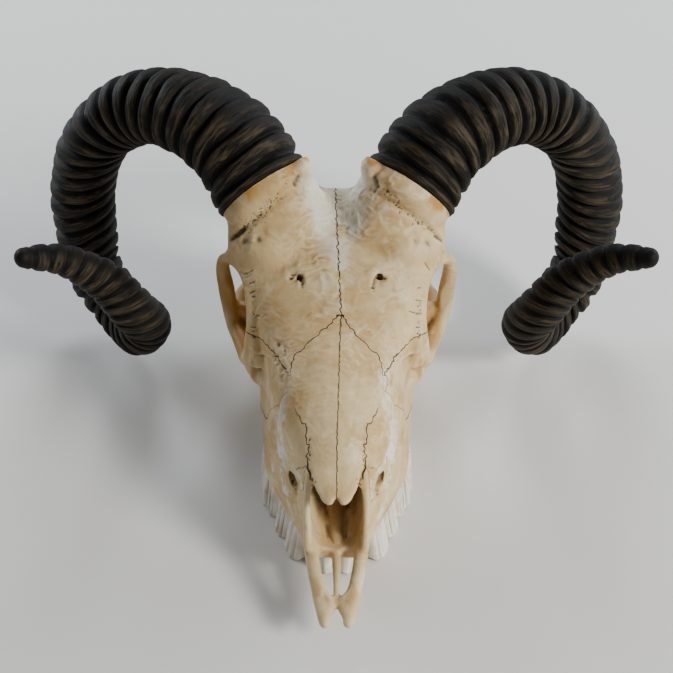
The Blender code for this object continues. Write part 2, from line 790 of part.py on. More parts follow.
def left_pieces(bone):
    """The left bones, parted from the whole along their sutures."""
    inside = -GAP / 2
    outside = GAP / 2
    nasal = piece("nasal_left", bone, [nasal_region(inside)], [])
    cheek = piece("cheek_left", bone, [cheek_region(inside)], [])
    maxilla = piece("maxilla_left", bone, [side_region("maxilla_region", MAXILLA_OUTLINE, 0, inside)],
                    [nasal_region(outside), cheek_region(outside)])
    premaxilla = piece("premaxilla_left", bone,
                       [side_region("premaxilla_region", PREMAXILLA_OUTLINE, 0, inside)],
                       [nasal_region(outside)])
    frontal = piece("frontal_left", bone, [frontal_region(inside)],
                    [nasal_region(outside), cheek_region(outside)])
    fuse(maxilla, teeth())
    keep_largest(maxilla)
    return [nasal, cheek, maxilla, premaxilla, frontal]


def braincase_piece(bone):
    """What is left of the bone behind the face and under the forehead."""
    outside = GAP / 2
    ahead = side_region("ahead_region", AHEAD_OUTLINE, -OUTER_REACH, outside)
    out = [ahead]
    for region in (nasal_region(outside), cheek_region(outside), frontal_region(outside)):
        out += both_sides(region)
    return piece("braincase", bone, [], out)


def mirrored(thing, name):
    """The mirror image of a left piece on the skull's right."""
    other = duplicate(thing, name)
    other.data.transform(Matrix.Diagonal((-1, 1, 1, 1)))
    other.data.flip_normals()
    return other


def halved_and_mirrored(thing):
    """Makes the right half of an object the mirror image of the left."""
    modifier = thing.modifiers.new("mirror", "MIRROR")
    modifier.use_bisect_axis = (True, False, False)
    modifier.merge_threshold = MERGE
    modifier.bisect_threshold = WELD
    modifier.use_mirror_merge = True
    apply_modifiers(thing)


def thin_out(thing, faces):
    """Brings an object's skin down to about a number of triangles, alike on both sides."""
    modifier = thing.modifiers.new("thin", "DECIMATE")
    modifier.ratio = faces / (2 * len(thing.data.polygons))
    modifier.use_symmetry = True
    modifier.use_collapse_triangulate = True
    apply_modifiers(thing)


def whole_bone():
    """The skull's bone in one piece, carved out and cut clear of the horns and of the ground."""
    bone = joined("bone", added_forms())
    remesh(bone, VOXEL)
    blend_forehead(bone)
    holes = hollow_forms()
    combine(bone, holes, "DIFFERENCE", "MANIFOLD")
    remove_all(holes)
    remesh(bone, VOXEL)
    soften(bone, SMOOTH_ROUNDS)
    keep_largest(bone)
    halved_and_mirrored(bone)
    thin_out(bone, BONE_FACES)
    ground = prism("ground", GROUND_OUTLINE, -GROUND_DEPTH, 0, lambda x, y, z: (x, y, z))
    room = both_sides(horn_room())
    combine(bone, room + [ground], "DIFFERENCE")
    remove_all(room + [ground])
    keep_largest(bone)
    return bone


class Finish(NamedTuple):
    """Colour and surface of a material."""
    name: str
    colour: tuple
    roughness: float


BONE_FINISH = Finish("aged_bone", (0.66, 0.55, 0.38, 1), 0.55)
HORN_FINISH = Finish("dark_horn", (0.035, 0.026, 0.02, 1), 0.42)


def dress(thing, finish):
    """Gives an object a material and smooth shading."""
    material = bpy.data.materials.get(finish.name)
    if material is None:
        material = bpy.data.materials.new(finish.name)
        material.use_nodes = True
        shader = material.node_tree.nodes["Principled BSDF"]
        shader.inputs["Base Color"].default_value = finish.colour
        shader.inputs["Roughness"].default_value = finish.roughness
        shader.inputs["Metallic"].default_value = 0
    thing.data.materials.clear()
    thing.data.materials.append(material)
    thing.data.shade_smooth()
    thing.data.set_sharp_from_angle(angle=math.radians(50))


def set_on_origin(things):
    """Moves the whole skull along its length until its box stands centred on the origin."""
    places = [vert.co.y for thing in things for vert in thing.data.vertices]
    shift = -(min(places) + max(places)) / 2
    for thing in things:
        thing.data.transform(Matrix.Translation((0, shift, 0)))


def main():
    """Builds the skull and its horns."""
    for thing in list(bpy.data.objects):
        bpy.data.objects.remove(thing)
    group = bpy.data.collections.new(PART_NAME)
    bpy.context.scene.collection.children.link(group)
    bone = whole_bone()
    bones = left_pieces(bone)
    bones += [mirrored(thing, thing.name.replace("left", "right")) for thing in bones]
    bones.append(braincase_piece(bone))
    bpy.data.objects.remove(bone)
    horns = horn_lengths()
    horns += [mirrored(thing, thing.name.replace("left", "right")) for thing in horns]
    for thing in bones:
        dress(thing, BONE_FINISH)
    for thing in horns:
        dress(thing, HORN_FINISH)
    set_on_origin(bones + horns)


if __name__ == "__main__":
    main()
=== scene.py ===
"""Looks of a life-size ram skull with ringed horns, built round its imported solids.

The skull lies on the worn ends of its cheek teeth and on the two processes behind the ears. Forms are
described in millimetres in the skull's own frame: +X is its left, the nose points along -Y, +Z is up and
height 0 is the surface that it rests on. They become metres in the frame of the solids when a mesh is made.
The bone is melted from round forms, hollowed, given its fine relief and then parted along wavy sutures.
"""

import logging
import math
from dataclasses import dataclass
from enum import Enum
from typing import Any, Callable, Iterable, NamedTuple, Sequence

import bmesh
import bpy
import numpy as np
from mathutils import Matrix, Vector
from mathutils.bvhtree import BVHTree


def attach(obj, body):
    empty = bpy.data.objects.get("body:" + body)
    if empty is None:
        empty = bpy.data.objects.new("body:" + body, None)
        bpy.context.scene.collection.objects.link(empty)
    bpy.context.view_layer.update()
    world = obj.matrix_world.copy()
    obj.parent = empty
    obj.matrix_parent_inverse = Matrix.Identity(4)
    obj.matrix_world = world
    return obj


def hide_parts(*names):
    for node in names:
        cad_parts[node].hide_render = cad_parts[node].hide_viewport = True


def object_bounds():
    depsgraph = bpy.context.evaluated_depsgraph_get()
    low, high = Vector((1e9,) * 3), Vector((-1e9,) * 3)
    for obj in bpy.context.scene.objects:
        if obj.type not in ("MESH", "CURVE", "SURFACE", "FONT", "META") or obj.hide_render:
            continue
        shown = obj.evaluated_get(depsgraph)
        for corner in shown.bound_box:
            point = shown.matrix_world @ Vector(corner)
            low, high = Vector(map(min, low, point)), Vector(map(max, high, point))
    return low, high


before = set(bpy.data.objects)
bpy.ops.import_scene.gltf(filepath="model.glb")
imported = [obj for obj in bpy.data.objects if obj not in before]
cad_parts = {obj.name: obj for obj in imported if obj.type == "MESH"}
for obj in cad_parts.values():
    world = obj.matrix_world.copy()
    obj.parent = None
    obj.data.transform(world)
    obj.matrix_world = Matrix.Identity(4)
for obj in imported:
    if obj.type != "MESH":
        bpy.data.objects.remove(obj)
CAD_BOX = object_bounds()

LOG = logging.getLogger("ram_skull")
MM = 0.001
TIP_Y = -158.62  # the foremost place of the skull in its own frame
SHIFT_Y = CAD_BOX[0].y / MM - TIP_Y
WELD = 1e-7  # points nearer to each other than this, in metres, become one
BALL_SIDES = 36
BALL_ROWS = 24
BAR_BEVEL = 8
BAR_SHARE_OPEN = 10  # points along a bar for each point of its way
BAR_SHARE_CLOSED = 14
BAR_LEAST = 16
SHARP_ANGLE = 55.0
LEAST_TURN = 0.5  # a corner of an outline moves outward at most as if it turned this sharply
NOWHERE = -1000.0
MIX_FIRST, MIX_SECOND, MIX_RESULT = 6, 7, 2  # the sockets for colours of a Mix node

Point = tuple[float, float, float]
Colour = tuple[float, float, float]
Knots = Sequence[tuple[float, float]]
Spots = Sequence[tuple[float, float]]


class Side(Enum):
    """The two sides of the skull."""
    LEFT = 1
    RIGHT = -1

    @property
    def label(self) -> str:
        """The side's name as the solids use it."""
        return self.name.lower()


class Cut(Enum):
    """How one body is combined with another."""
    AWAY = "DIFFERENCE"
    WITHIN = "INTERSECT"


# Curves


def smooth_values(knots: Sequence[float], values: Any, places: Any) -> np.ndarray:
    """Reads a smooth curve that runs through given values.

    Args:
        knots: Rising places of the known values.
        values: A value, or a row of values, for each knot.
        places: Where to read the curve.

    Returns:
        The curve's value at each place.
    """
    knots = np.asarray(knots, float)
    values = np.asarray(values, float)
    places = np.atleast_1d(np.asarray(places, float))
    flat = values.reshape(len(knots), -1)
    slopes = np.gradient(flat, knots, axis=0)
    at = np.clip(np.searchsorted(knots, places, side="right") - 1, 0, len(knots) - 2)
    step = (knots[at + 1] - knots[at])[:, None]
    u = (places[:, None] - knots[at][:, None]) / step
    start = (2 * u ** 3 - 3 * u ** 2 + 1) * flat[at] + (u ** 3 - 2 * u ** 2 + u) * step * slopes[at]
    end = (3 * u ** 2 - 2 * u ** 3) * flat[at + 1] + (u ** 3 - u ** 2) * step * slopes[at + 1]
    return (start + end).reshape((len(places),) + values.shape[1:])


def lengths_along(points: np.ndarray) -> np.ndarray:
    """Gives the distance of each point from the first, measured along the points."""
    steps = np.linalg.norm(np.diff(points, axis=0), axis=1)
    return np.concatenate([[0.0], np.cumsum(steps)])


def closed_outline(points: Any, count: int) -> np.ndarray:
    """Runs a smooth closed outline through points.

    Args:
        points: The points in turning order.
        count: How many evenly spaced points the outline gets.

    Returns:
        The outline's points.
    """
    points = np.asarray(points, float)
    wrap = 3
    padded = np.concatenate([points[-wrap:], points, points[:wrap + 1]])
    along = lengths_along(padded)
    places = np.linspace(along[wrap], along[wrap + len(points)], count, endpoint=False)
    return smooth_values(along, padded, places)


def read_table(table: Knots, places: Any) -> np.ndarray:
    """Reads values between the rows (place, value) of a table."""
    knots, values = zip(*table)
    return np.interp(places, knots, values)


def soft_step(low: float, high: float, values: np.ndarray) -> np.ndarray:
    """Rises smoothly from 0 at low to 1 at high."""
    u = np.clip((values - low) / (high - low), 0.0, 1.0)
    return u * u * (3 - 2 * u)


def bump_at(distance: np.ndarray, width: float) -> np.ndarray:
    """Falls smoothly from 1 at no distance towards 0 past a width."""
    return np.exp(-(distance / width) ** 2)


def line_distance(points: np.ndarray, line: np.ndarray) -> np.ndarray:
    """Measures how far points lie from a line.

    Args:
        points: Places in millimetres.
        line: Corners of the line.

    Returns:
        The distance of each point to the nearest place on the line.
    """
    nearest = np.full(len(points), np.inf)
    for here, there in zip(line[:-1], line[1:]):
        way = there - here
        share = np.clip((points - here) @ way / (way @ way), 0, 1)
        nearest = np.minimum(nearest, np.linalg.norm(points - here - share[:, None] * way, axis=1))
    return nearest


class Grain:
    """Seeded, smooth random values in space, the same in each run."""

    SIZE = 32
    LAYER_SHIFT = 17.3
    LAYER_TOTAL = 1.5

    def __init__(self, seed: int) -> None:
        """Draws the values of one seed."""
        self.values = np.random.default_rng(seed).uniform(-1, 1, (self.SIZE,) * 3)

    def at(self, points: np.ndarray, size: Any) -> np.ndarray:
        """Reads the values.

        Args:
            points: Places in millimetres, one row each.
            size: Size of a feature in millimetres, or one size for each axis.

        Returns:
            A value from -1 to 1 for each place.
        """
        q = np.asarray(points, float) / np.asarray(size, float)
        low = np.floor(q).astype(int)
        f = q - low
        f = f * f * (3 - 2 * f)
        total = np.zeros(len(q))
        for corner in range(8):
            pick = np.array([corner & 1, corner >> 1 & 1, corner >> 2 & 1])
            weight = np.prod(np.where(pick, f, 1 - f), axis=1)
            x, y, z = ((low + pick) % self.SIZE).T
            total += weight * self.values[x, y, z]
        return total

    def layers(self, points: np.ndarray, size: float, count: int) -> np.ndarray:
        """Adds up ever finer values, each layer half as large and half as strong.

        Args:
            points: Places in millimetres.
            size: Size of the coarsest features.
            count: Number of layers.

        Returns:
            A value for each place, mostly from -1 to 1.
        """
        total = np.zeros(len(points))
        for layer in range(count):
            total += self.at(points + self.LAYER_SHIFT * layer, size / 2 ** layer) / 2 ** layer
        return total / self.LAYER_TOTAL


# Meshes


def new_object(name: str, verts: Any, faces: Sequence[tuple[int, ...]]) -> bpy.types.Object:
    """Makes a mesh object from points in the skull's own frame.

    Args:
        name: The object's name.
        verts: Points in millimetres.
        faces: Point numbers of each face.

    Returns:
        The object, with its faces pointing out.
    """
    mesh = bpy.data.meshes.new(name)
    mesh.from_pydata(to_metres(np.asarray(verts, float)).tolist(), [], faces)
    return wrap_mesh(name, mesh)


def to_metres(points: np.ndarray) -> np.ndarray:
    """Moves points from the skull's own frame to the frame of the solids."""
    return (points + (0.0, SHIFT_Y, 0.0)) * MM


def to_mm(points: np.ndarray) -> np.ndarray:
    """Moves points from the frame of the solids to the skull's own frame."""
    return points / MM - (0.0, SHIFT_Y, 0.0)


def wrap_mesh(name: str, mesh: bpy.types.Mesh) -> bpy.types.Object:
    """Welds a mesh, turns its faces out and gives it an object."""
    body = bmesh.new()
    body.from_mesh(mesh)
    bmesh.ops.remove_doubles(body, verts=body.verts, dist=WELD)
    bmesh.ops.recalc_face_normals(body, faces=body.faces)
    body.to_mesh(mesh)
    body.free()
    return linked(name, mesh)


def linked(name: str, data: bpy.types.ID | None) -> bpy.types.Object:
    """Puts a mesh, curve, light or camera in the scene as an object."""
    thing = bpy.data.objects.new(name, data)
    bpy.context.scene.collection.objects.link(thing)
    return thing


def evaluated_mesh(thing: bpy.types.Object) -> bpy.types.Mesh:
    """Makes a mesh of what an object's curve or modifiers give."""
    bpy.context.view_layer.update()
    return bpy.data.meshes.new_from_object(thing.evaluated_get(bpy.context.evaluated_depsgraph_get()))


def read_rows(items: Any, name: str, width: int, kind: type = np.float32) -> np.ndarray:
    """Reads a property of each item of a mesh, one row of numbers each.

    Args:
        items: The mesh's points, edges or stored values.
        name: The property.
        width: How many numbers it has.
        kind: The numbers' type in the mesh.

    Returns:
        The rows.
    """
    numbers = np.empty(len(items) * width, kind)
    items.foreach_get(name, numbers)
    return numbers.reshape(-1, width)


def read_points(thing: bpy.types.Object) -> np.ndarray:
    """Reads an object's points in the skull's own frame."""
    return to_mm(read_rows(thing.data.vertices, "co", 3).astype(float))


def read_edges(thing: bpy.types.Object) -> np.ndarray:
    """Reads the numbers of the first and of the second point of each edge."""
    return read_rows(thing.data.edges, "vertices", 2, np.int32).T


def write_points(thing: bpy.types.Object, points: np.ndarray) -> None:
    """Gives an object new places for its points."""
    thing.data.vertices.foreach_set("co", to_metres(points).astype(np.float32).ravel())
    thing.data.update()


def on_left(points: np.ndarray) -> np.ndarray:
    """Mirrors the points of the skull's right to its left."""
    return np.column_stack([np.abs(points[:, 0]), points[:, 1:]])


def read_normals(thing: bpy.types.Object) -> np.ndarray:
    """Reads the direction that the skin faces at each point."""
    return read_rows(thing.data.vertex_normals, "vector", 3).astype(float)


def write_values(thing: bpy.types.Object, name: str, values: np.ndarray) -> None:
    """Stores a number for each point, for a material to read."""
    layer = thing.data.attributes.get(name) or thing.data.attributes.new(name, "FLOAT", "POINT")
    layer.data.foreach_set("value", np.asarray(values, np.float32))


def read_values(thing: bpy.types.Object, name: str) -> np.ndarray:
    """Reads the numbers that are stored for each point."""
    return read_rows(thing.data.attributes[name].data, "value", 1)[:, 0].astype(float)


def neighbour_mean(thing: bpy.types.Object, values: np.ndarray, rounds: int) -> np.ndarray:
    """Evens out values over an object's skin.

    Args:
        thing: The object whose edges say which points are neighbours.
        values: A row of numbers for each point.
        rounds: How many times each point takes the mean of itself and its neighbours.

    Returns:
        The evened values.
    """
    first, second = read_edges(thing)
    count = len(values)
    weight = 1.0 + np.bincount(first, minlength=count) + np.bincount(second, minlength=count)
    for _ in range(rounds):
        columns = []
        for column in values.T:
            total = column + np.bincount(first, column[second], count)
            columns.append((total + np.bincount(second, column[first], count)) / weight)
        values = np.array(columns).T
    return values


def loft(name: str, rings: Any) -> bpy.types.Object:
    """Makes a closed body through rings of equally many points, capped at both ends."""
    rings = np.asarray(rings, float)
    count = rings.shape[1]
    faces = []
    for row in range(len(rings) - 1):
        for side in range(count):
            after = (side + 1) % count
            faces.append((row * count + side, row * count + after,
                          (row + 1) * count + after, (row + 1) * count + side))
    faces.append(tuple(range(count)))
    faces.append(tuple((len(rings) - 1) * count + side for side in reversed(range(count))))
    return new_object(name, rings.reshape(-1, 3), faces)


def mirrored(half: Knots) -> np.ndarray:
    """Completes a half outline (x, z), which starts and ends at the middle, with its mirror image."""
    points = np.array(half, float)
    return np.concatenate([points, points[::-1][1:-1] * (-1, 1)])


def section_loft(name: str, sections: Sequence[Any], rows: int = 70, sides: int = 72) -> bpy.types.Object:
    """Makes a body through sections along the skull.

    Args:
        name: The object's name.
        sections: Sections with a place y, in the order of y, and an outline (x, z).
        rows: Number of rings.
        sides: Number of points in a ring.

    Returns:
        The body.
    """
    knots = [section.y for section in sections]
    places = np.linspace(knots[0], knots[-1], rows)
    rings = []
    for y, outline in zip(places, smooth_values(knots, [section.outline() for section in sections], places)):
        ring = closed_outline(outline, sides)
        rings.append(np.column_stack([ring[:, 0], np.full(sides, y), ring[:, 1]]))
    return loft(name, rings)


def ball(name: str, centre: Point, radii: Point) -> bpy.types.Object:
    """Makes an egg-shaped body."""
    body = bmesh.new()
    bmesh.ops.create_uvsphere(body, u_segments=BALL_SIDES, v_segments=BALL_ROWS, radius=1)
    place = Matrix.Translation((centre[0], centre[1] + SHIFT_Y, centre[2])) @ Matrix.Diagonal((*radii, 1))
    bmesh.ops.transform(body, matrix=Matrix.Scale(MM, 4) @ place, verts=body.verts)
    mesh = bpy.data.meshes.new(name)
    body.to_mesh(mesh)
    body.free()
    return wrap_mesh(name, mesh)


def bar(name: str, way: Sequence[Point], radii: Sequence[float], closed: bool = False) -> bpy.types.Object:
    """Makes a round bar along a smooth way.

    Args:
        name: The object's name.
        way: Points of the bar's middle line.
        radii: The bar's radius at each of them.
        closed: Whether the way runs back into its start.

    Returns:
        The bar.
    """
    line = np.column_stack([np.asarray(way, float), radii])
    if closed:
        points = closed_outline(line, BAR_SHARE_CLOSED * len(way))
    else:
        along = lengths_along(line[:, :3])
        count = max(BAR_LEAST, BAR_SHARE_OPEN * len(way))
        points = smooth_values(along, line, np.linspace(0, along[-1], count))
    curve = bpy.data.curves.new(name, "CURVE")
    curve.dimensions = "3D"
    curve.bevel_depth = MM
    curve.bevel_resolution = BAR_BEVEL
    curve.use_fill_caps = not closed
    spline = curve.splines.new("POLY")
    spline.points.add(len(points) - 1)
    spline.use_cyclic_u = closed
    places = to_metres(points[:, :3])
    for point, place, radius in zip(spline.points, places, points[:, 3]):
        point.co = (*place, 1)
        point.radius = radius
    holder = linked(name, curve)
    mesh = evaluated_mesh(holder)
    bpy.data.objects.remove(holder)
    return wrap_mesh(name, mesh)


def prism(name: str, outline: Any, low: float, high: float,
          place: Callable[[float, float, float], Any]) -> bpy.types.Object:
    """Makes a straight-sided body.

    Args:
        name: The object's name.
        outline: Points (a, b) in turning order.
        low: Lowest c.
        high: Highest c.
        place: Gives the point in space of (a, b, c).

    Returns:
        The body.
    """
    count = len(outline)
    verts = [tuple(place(a, b, low)) for a, b in outline] + [tuple(place(a, b, high)) for a, b in outline]
    faces = [tuple(range(count)), tuple(range(2 * count - 1, count - 1, -1))]
    faces += [(i, (i + 1) % count, count + (i + 1) % count, count + i) for i in range(count)]
    return new_object(name, verts, faces)


def both_sides(things: Iterable[bpy.types.Object]) -> list[bpy.types.Object]:
    """Gives each object and its mirror image on the skull's other side."""
    pairs = []
    for thing in things:
        other = duplicate(thing, thing.name)
        other.data.transform(Matrix.Diagonal((-1, 1, 1, 1)))
        other.data.flip_normals()
        pairs += [thing, other]
    return pairs


def joined(name: str, things: Iterable[bpy.types.Object]) -> bpy.types.Object:
    """Gathers the bodies of several objects in one, and takes the others out."""
    body = bmesh.new()
    for thing in things:
        body.from_mesh(thing.data)
        bpy.data.objects.remove(thing)
    mesh = bpy.data.meshes.new(name)
    body.to_mesh(mesh)
    body.free()
    return linked(name, mesh)


def remove_all(things: Iterable[bpy.types.Object]) -> None:
    """Takes helper objects out of the scene."""
    for thing in things:
        bpy.data.objects.remove(thing)


def apply_modifiers(thing: bpy.types.Object) -> None:
    """Gives an object the mesh that its modifiers make of it, and drops them."""
    mesh = evaluated_mesh(thing)
    thing.modifiers.clear()
    thing.data = mesh


def remesh(thing: bpy.types.Object, voxel: float) -> None:
    """Melts the bodies of an object into one skin of even faces."""
    modifier = thing.modifiers.new("melt", "REMESH")
    modifier.mode = "VOXEL"
    modifier.voxel_size = voxel * MM
    apply_modifiers(thing)


def soften(thing: bpy.types.Object, rounds: int, weights: np.ndarray | None = None) -> None:
    """Rounds an object's skin.

    Args:
        thing: The object.
        rounds: How often it is evened out.
        weights: How strongly each point takes part, or None for all alike.
    """
    points = read_points(thing)
    share = 0.5 if weights is None else 0.5 * weights[:, None]
    for _ in range(rounds):
        points = points + (neighbour_mean(thing, points, 1) - points) * share
    write_points(thing, points)


def combine(thing: bpy.types.Object, others: Sequence[bpy.types.Object], cut: Cut) -> None:
    """Cuts an object by others or keeps what lies within them, one after another."""
    for other in others:
        modifier = thing.modifiers.new("combine", "BOOLEAN")
        modifier.operation = cut.value
        modifier.solver = "MANIFOLD"
        modifier.object = other
        apply_modifiers(thing)


def keep_largest(thing: bpy.types.Object) -> None:
    """Keeps an object's largest closed surface and drops loose scraps."""
    first, second = read_edges(thing)
    label = np.arange(len(thing.data.vertices))
    while True:
        low = np.minimum(label[first], label[second])
        fresh = label.copy()
        np.minimum.at(fresh, first, low)
        np.minimum.at(fresh, second, low)
        fresh = fresh[fresh]
        if np.array_equal(fresh, label):
            break
        label = fresh
    names, sizes = np.unique(label, return_counts=True)
    if len(names) == 1:
        return
    loose = label != names[np.argmax(sizes)]
    body = bmesh.new()
    body.from_mesh(thing.data)
    body.verts.ensure_lookup_table()
    bmesh.ops.delete(body, geom=[body.verts[i] for i in np.flatnonzero(loose)], context="VERTS")
    body.to_mesh(thing.data)
    body.free()


def duplicate(thing: bpy.types.Object, name: str) -> bpy.types.Object:
    """Copies an object with a mesh of its own."""
    copy = thing.copy()
    copy.data = thing.data.copy()
    copy.name = name
    bpy.context.scene.collection.objects.link(copy)
    return copy


def spread(outline: Any, by: Any) -> np.ndarray:
    """Moves a flat outline, given in turning order, outward by a distance or by one for each point."""
    points = np.asarray(outline, float)
    before = points - np.roll(points, 1, axis=0)
    after = np.roll(points, -1, axis=0) - points
    before /= np.linalg.norm(before, axis=1)[:, None]
    after /= np.linalg.norm(after, axis=1)[:, None]
    area = np.sum(points[:, 0] * np.roll(points[:, 1], -1) - np.roll(points[:, 0], -1) * points[:, 1])
    turn = np.sign(area)
    normals_before = turn * np.column_stack([before[:, 1], -before[:, 0]])
    normals_after = turn * np.column_stack([after[:, 1], -after[:, 0]])
    corner = normals_before + normals_after
    corner /= np.maximum(np.sum(corner * normals_after, axis=1), LEAST_TURN)[:, None]
    return points + corner * np.broadcast_to(by, len(points))[:, None]


# Materials


class Signal:
    """One output in a material, a number, colour or vector, on which sums can be written."""

    def __init__(self, graph: "Graph", socket: bpy.types.NodeSocket) -> None:
        """Wraps a socket of a graph."""
        self.graph = graph
        self.socket = socket

    def _math(self, operation: str, *values: Any) -> "Signal":
        """Adds a Math node."""
        return self.graph.node("ShaderNodeMath", {"operation": operation}, dict(enumerate(values)))

    def __add__(self, other: Any) -> "Signal":
        """Adds."""
        return self._math("ADD", self, other)

    def __radd__(self, other: Any) -> "Signal":
        """Adds to a number."""
        return self._math("ADD", other, self)

    def __sub__(self, other: Any) -> "Signal":
        """Takes away."""
        return self._math("SUBTRACT", self, other)

    def __rsub__(self, other: Any) -> "Signal":
        """Takes away from a number."""
        return self._math("SUBTRACT", other, self)

    def __mul__(self, other: Any) -> "Signal":
        """Multiplies."""
        return self._math("MULTIPLY", self, other)

    def clamped(self) -> "Signal":
        """Holds the value between 0 and 1."""
        return self.graph.node("ShaderNodeClamp", {}, {"Value": self})

    def step(self, low: float, high: float) -> "Signal":
        """Rises smoothly from 0 at low to 1 at high."""
        return self.graph.node("ShaderNodeMapRange", {"interpolation_type": "SMOOTHSTEP"},
                               {"Value": self, "From Min": low, "From Max": high})


class Graph:
    """The node tree of one material."""

    def __init__(self, name: str) -> None:
        """Starts a material with a single shader.

        Args:
            name: The material's name.
        """
        self.material = bpy.data.materials.new(name)
        self.material.use_nodes = True
        self.tree = self.material.node_tree
        self.shader = self.tree.nodes["Principled BSDF"]

    def node(self, kind: str, settings: dict[str, Any], inputs: dict[Any, Any], output: Any = 0) -> Signal:
        """Adds a node.

        Args:
            kind: The node's type.
            settings: Its properties, set first.
            inputs: Values or signals by socket name or number.
            output: Name or number of the output to give back.

        Returns:
            The chosen output.
        """
        made = self.tree.nodes.new(kind)
        for key, value in settings.items():
            setattr(made, key, value)
        for key, value in inputs.items():
            self._plug(made.inputs[key], value)
        return Signal(self, made.outputs[output])

    def _plug(self, socket: bpy.types.NodeSocket, value: Any) -> None:
        """Links a signal to a socket, or sets the socket's value."""
        if isinstance(value, Signal):
            self.tree.links.new(value.socket, socket)
        elif socket.type == "RGBA" and len(value) == 3:
            socket.default_value = (*value, 1.0)
        else:
            socket.default_value = value

    def place(self) -> Signal:
        """The point on the object, in metres."""
        return self.node("ShaderNodeTexCoord", {}, {}, "Object")

    def value(self, name: str) -> Signal:
        """A number stored for each point of the mesh."""
        return self.node("ShaderNodeAttribute", {"attribute_name": name}, {}, "Fac")

    def stretched(self, place: Any, scale: Point) -> Signal:
        """A place scaled along each axis."""
        return self.node("ShaderNodeMapping", {"vector_type": "POINT"}, {"Vector": place, "Scale": scale})

    def noise(self, place: Any, size_mm: float, detail: float = 3.0, rough: float = 0.5,
              twist: float = 0.0) -> Signal:
        """Cloudy values.

        Args:
            place: Where the values are read, in metres.
            size_mm: Size of a feature in millimetres.
            detail: Number of finer layers.
            rough: Strength of the finer layers.
            twist: How much the clouds are twisted.

        Returns:
            A value round 0.5.
        """
        inputs = {"Vector": place, "Scale": 1 / (size_mm * MM), "Detail": detail, "Roughness": rough}
        return self.node("ShaderNodeTexNoise", {}, {**inputs, "Distortion": twist})

    def mix(self, share: Any, first: Any, second: Any) -> Signal:
        """Blends two colours: all of the first where share is 0, all of the second where it is 1."""
        inputs = {"Factor": share, MIX_FIRST: first, MIX_SECOND: second}
        return self.node("ShaderNodeMix", {"data_type": "RGBA"}, inputs, MIX_RESULT)

    def bump(self, height: Signal, depth_mm: float, before: Signal | None = None) -> Signal:
        """Turns heights from 0 to 1 into a surface direction."""
        inputs = {"Height": height, "Distance": depth_mm * MM, "Strength": 1.0}
        if before is not None:
            inputs["Normal"] = before
        return self.node("ShaderNodeBump", {}, inputs)

    def finish(self, colour: Any, roughness: Any, normal: Signal, shine: float) -> bpy.types.Material:
        """Plugs what varies into the shader and sets what doesn't.

        Args:
            colour: Base colour.
            roughness: Roughness.
            normal: Surface direction.
            shine: Strength of the reflections, 0.5 for common matter.

        Returns:
            The material.
        """
        inputs = {"Base Color": colour, "Roughness": roughness, "Normal": normal, "Specular IOR Level": shine}
        for key, value in inputs.items():
            self._plug(self.shader.inputs[key], value)
        return self.material


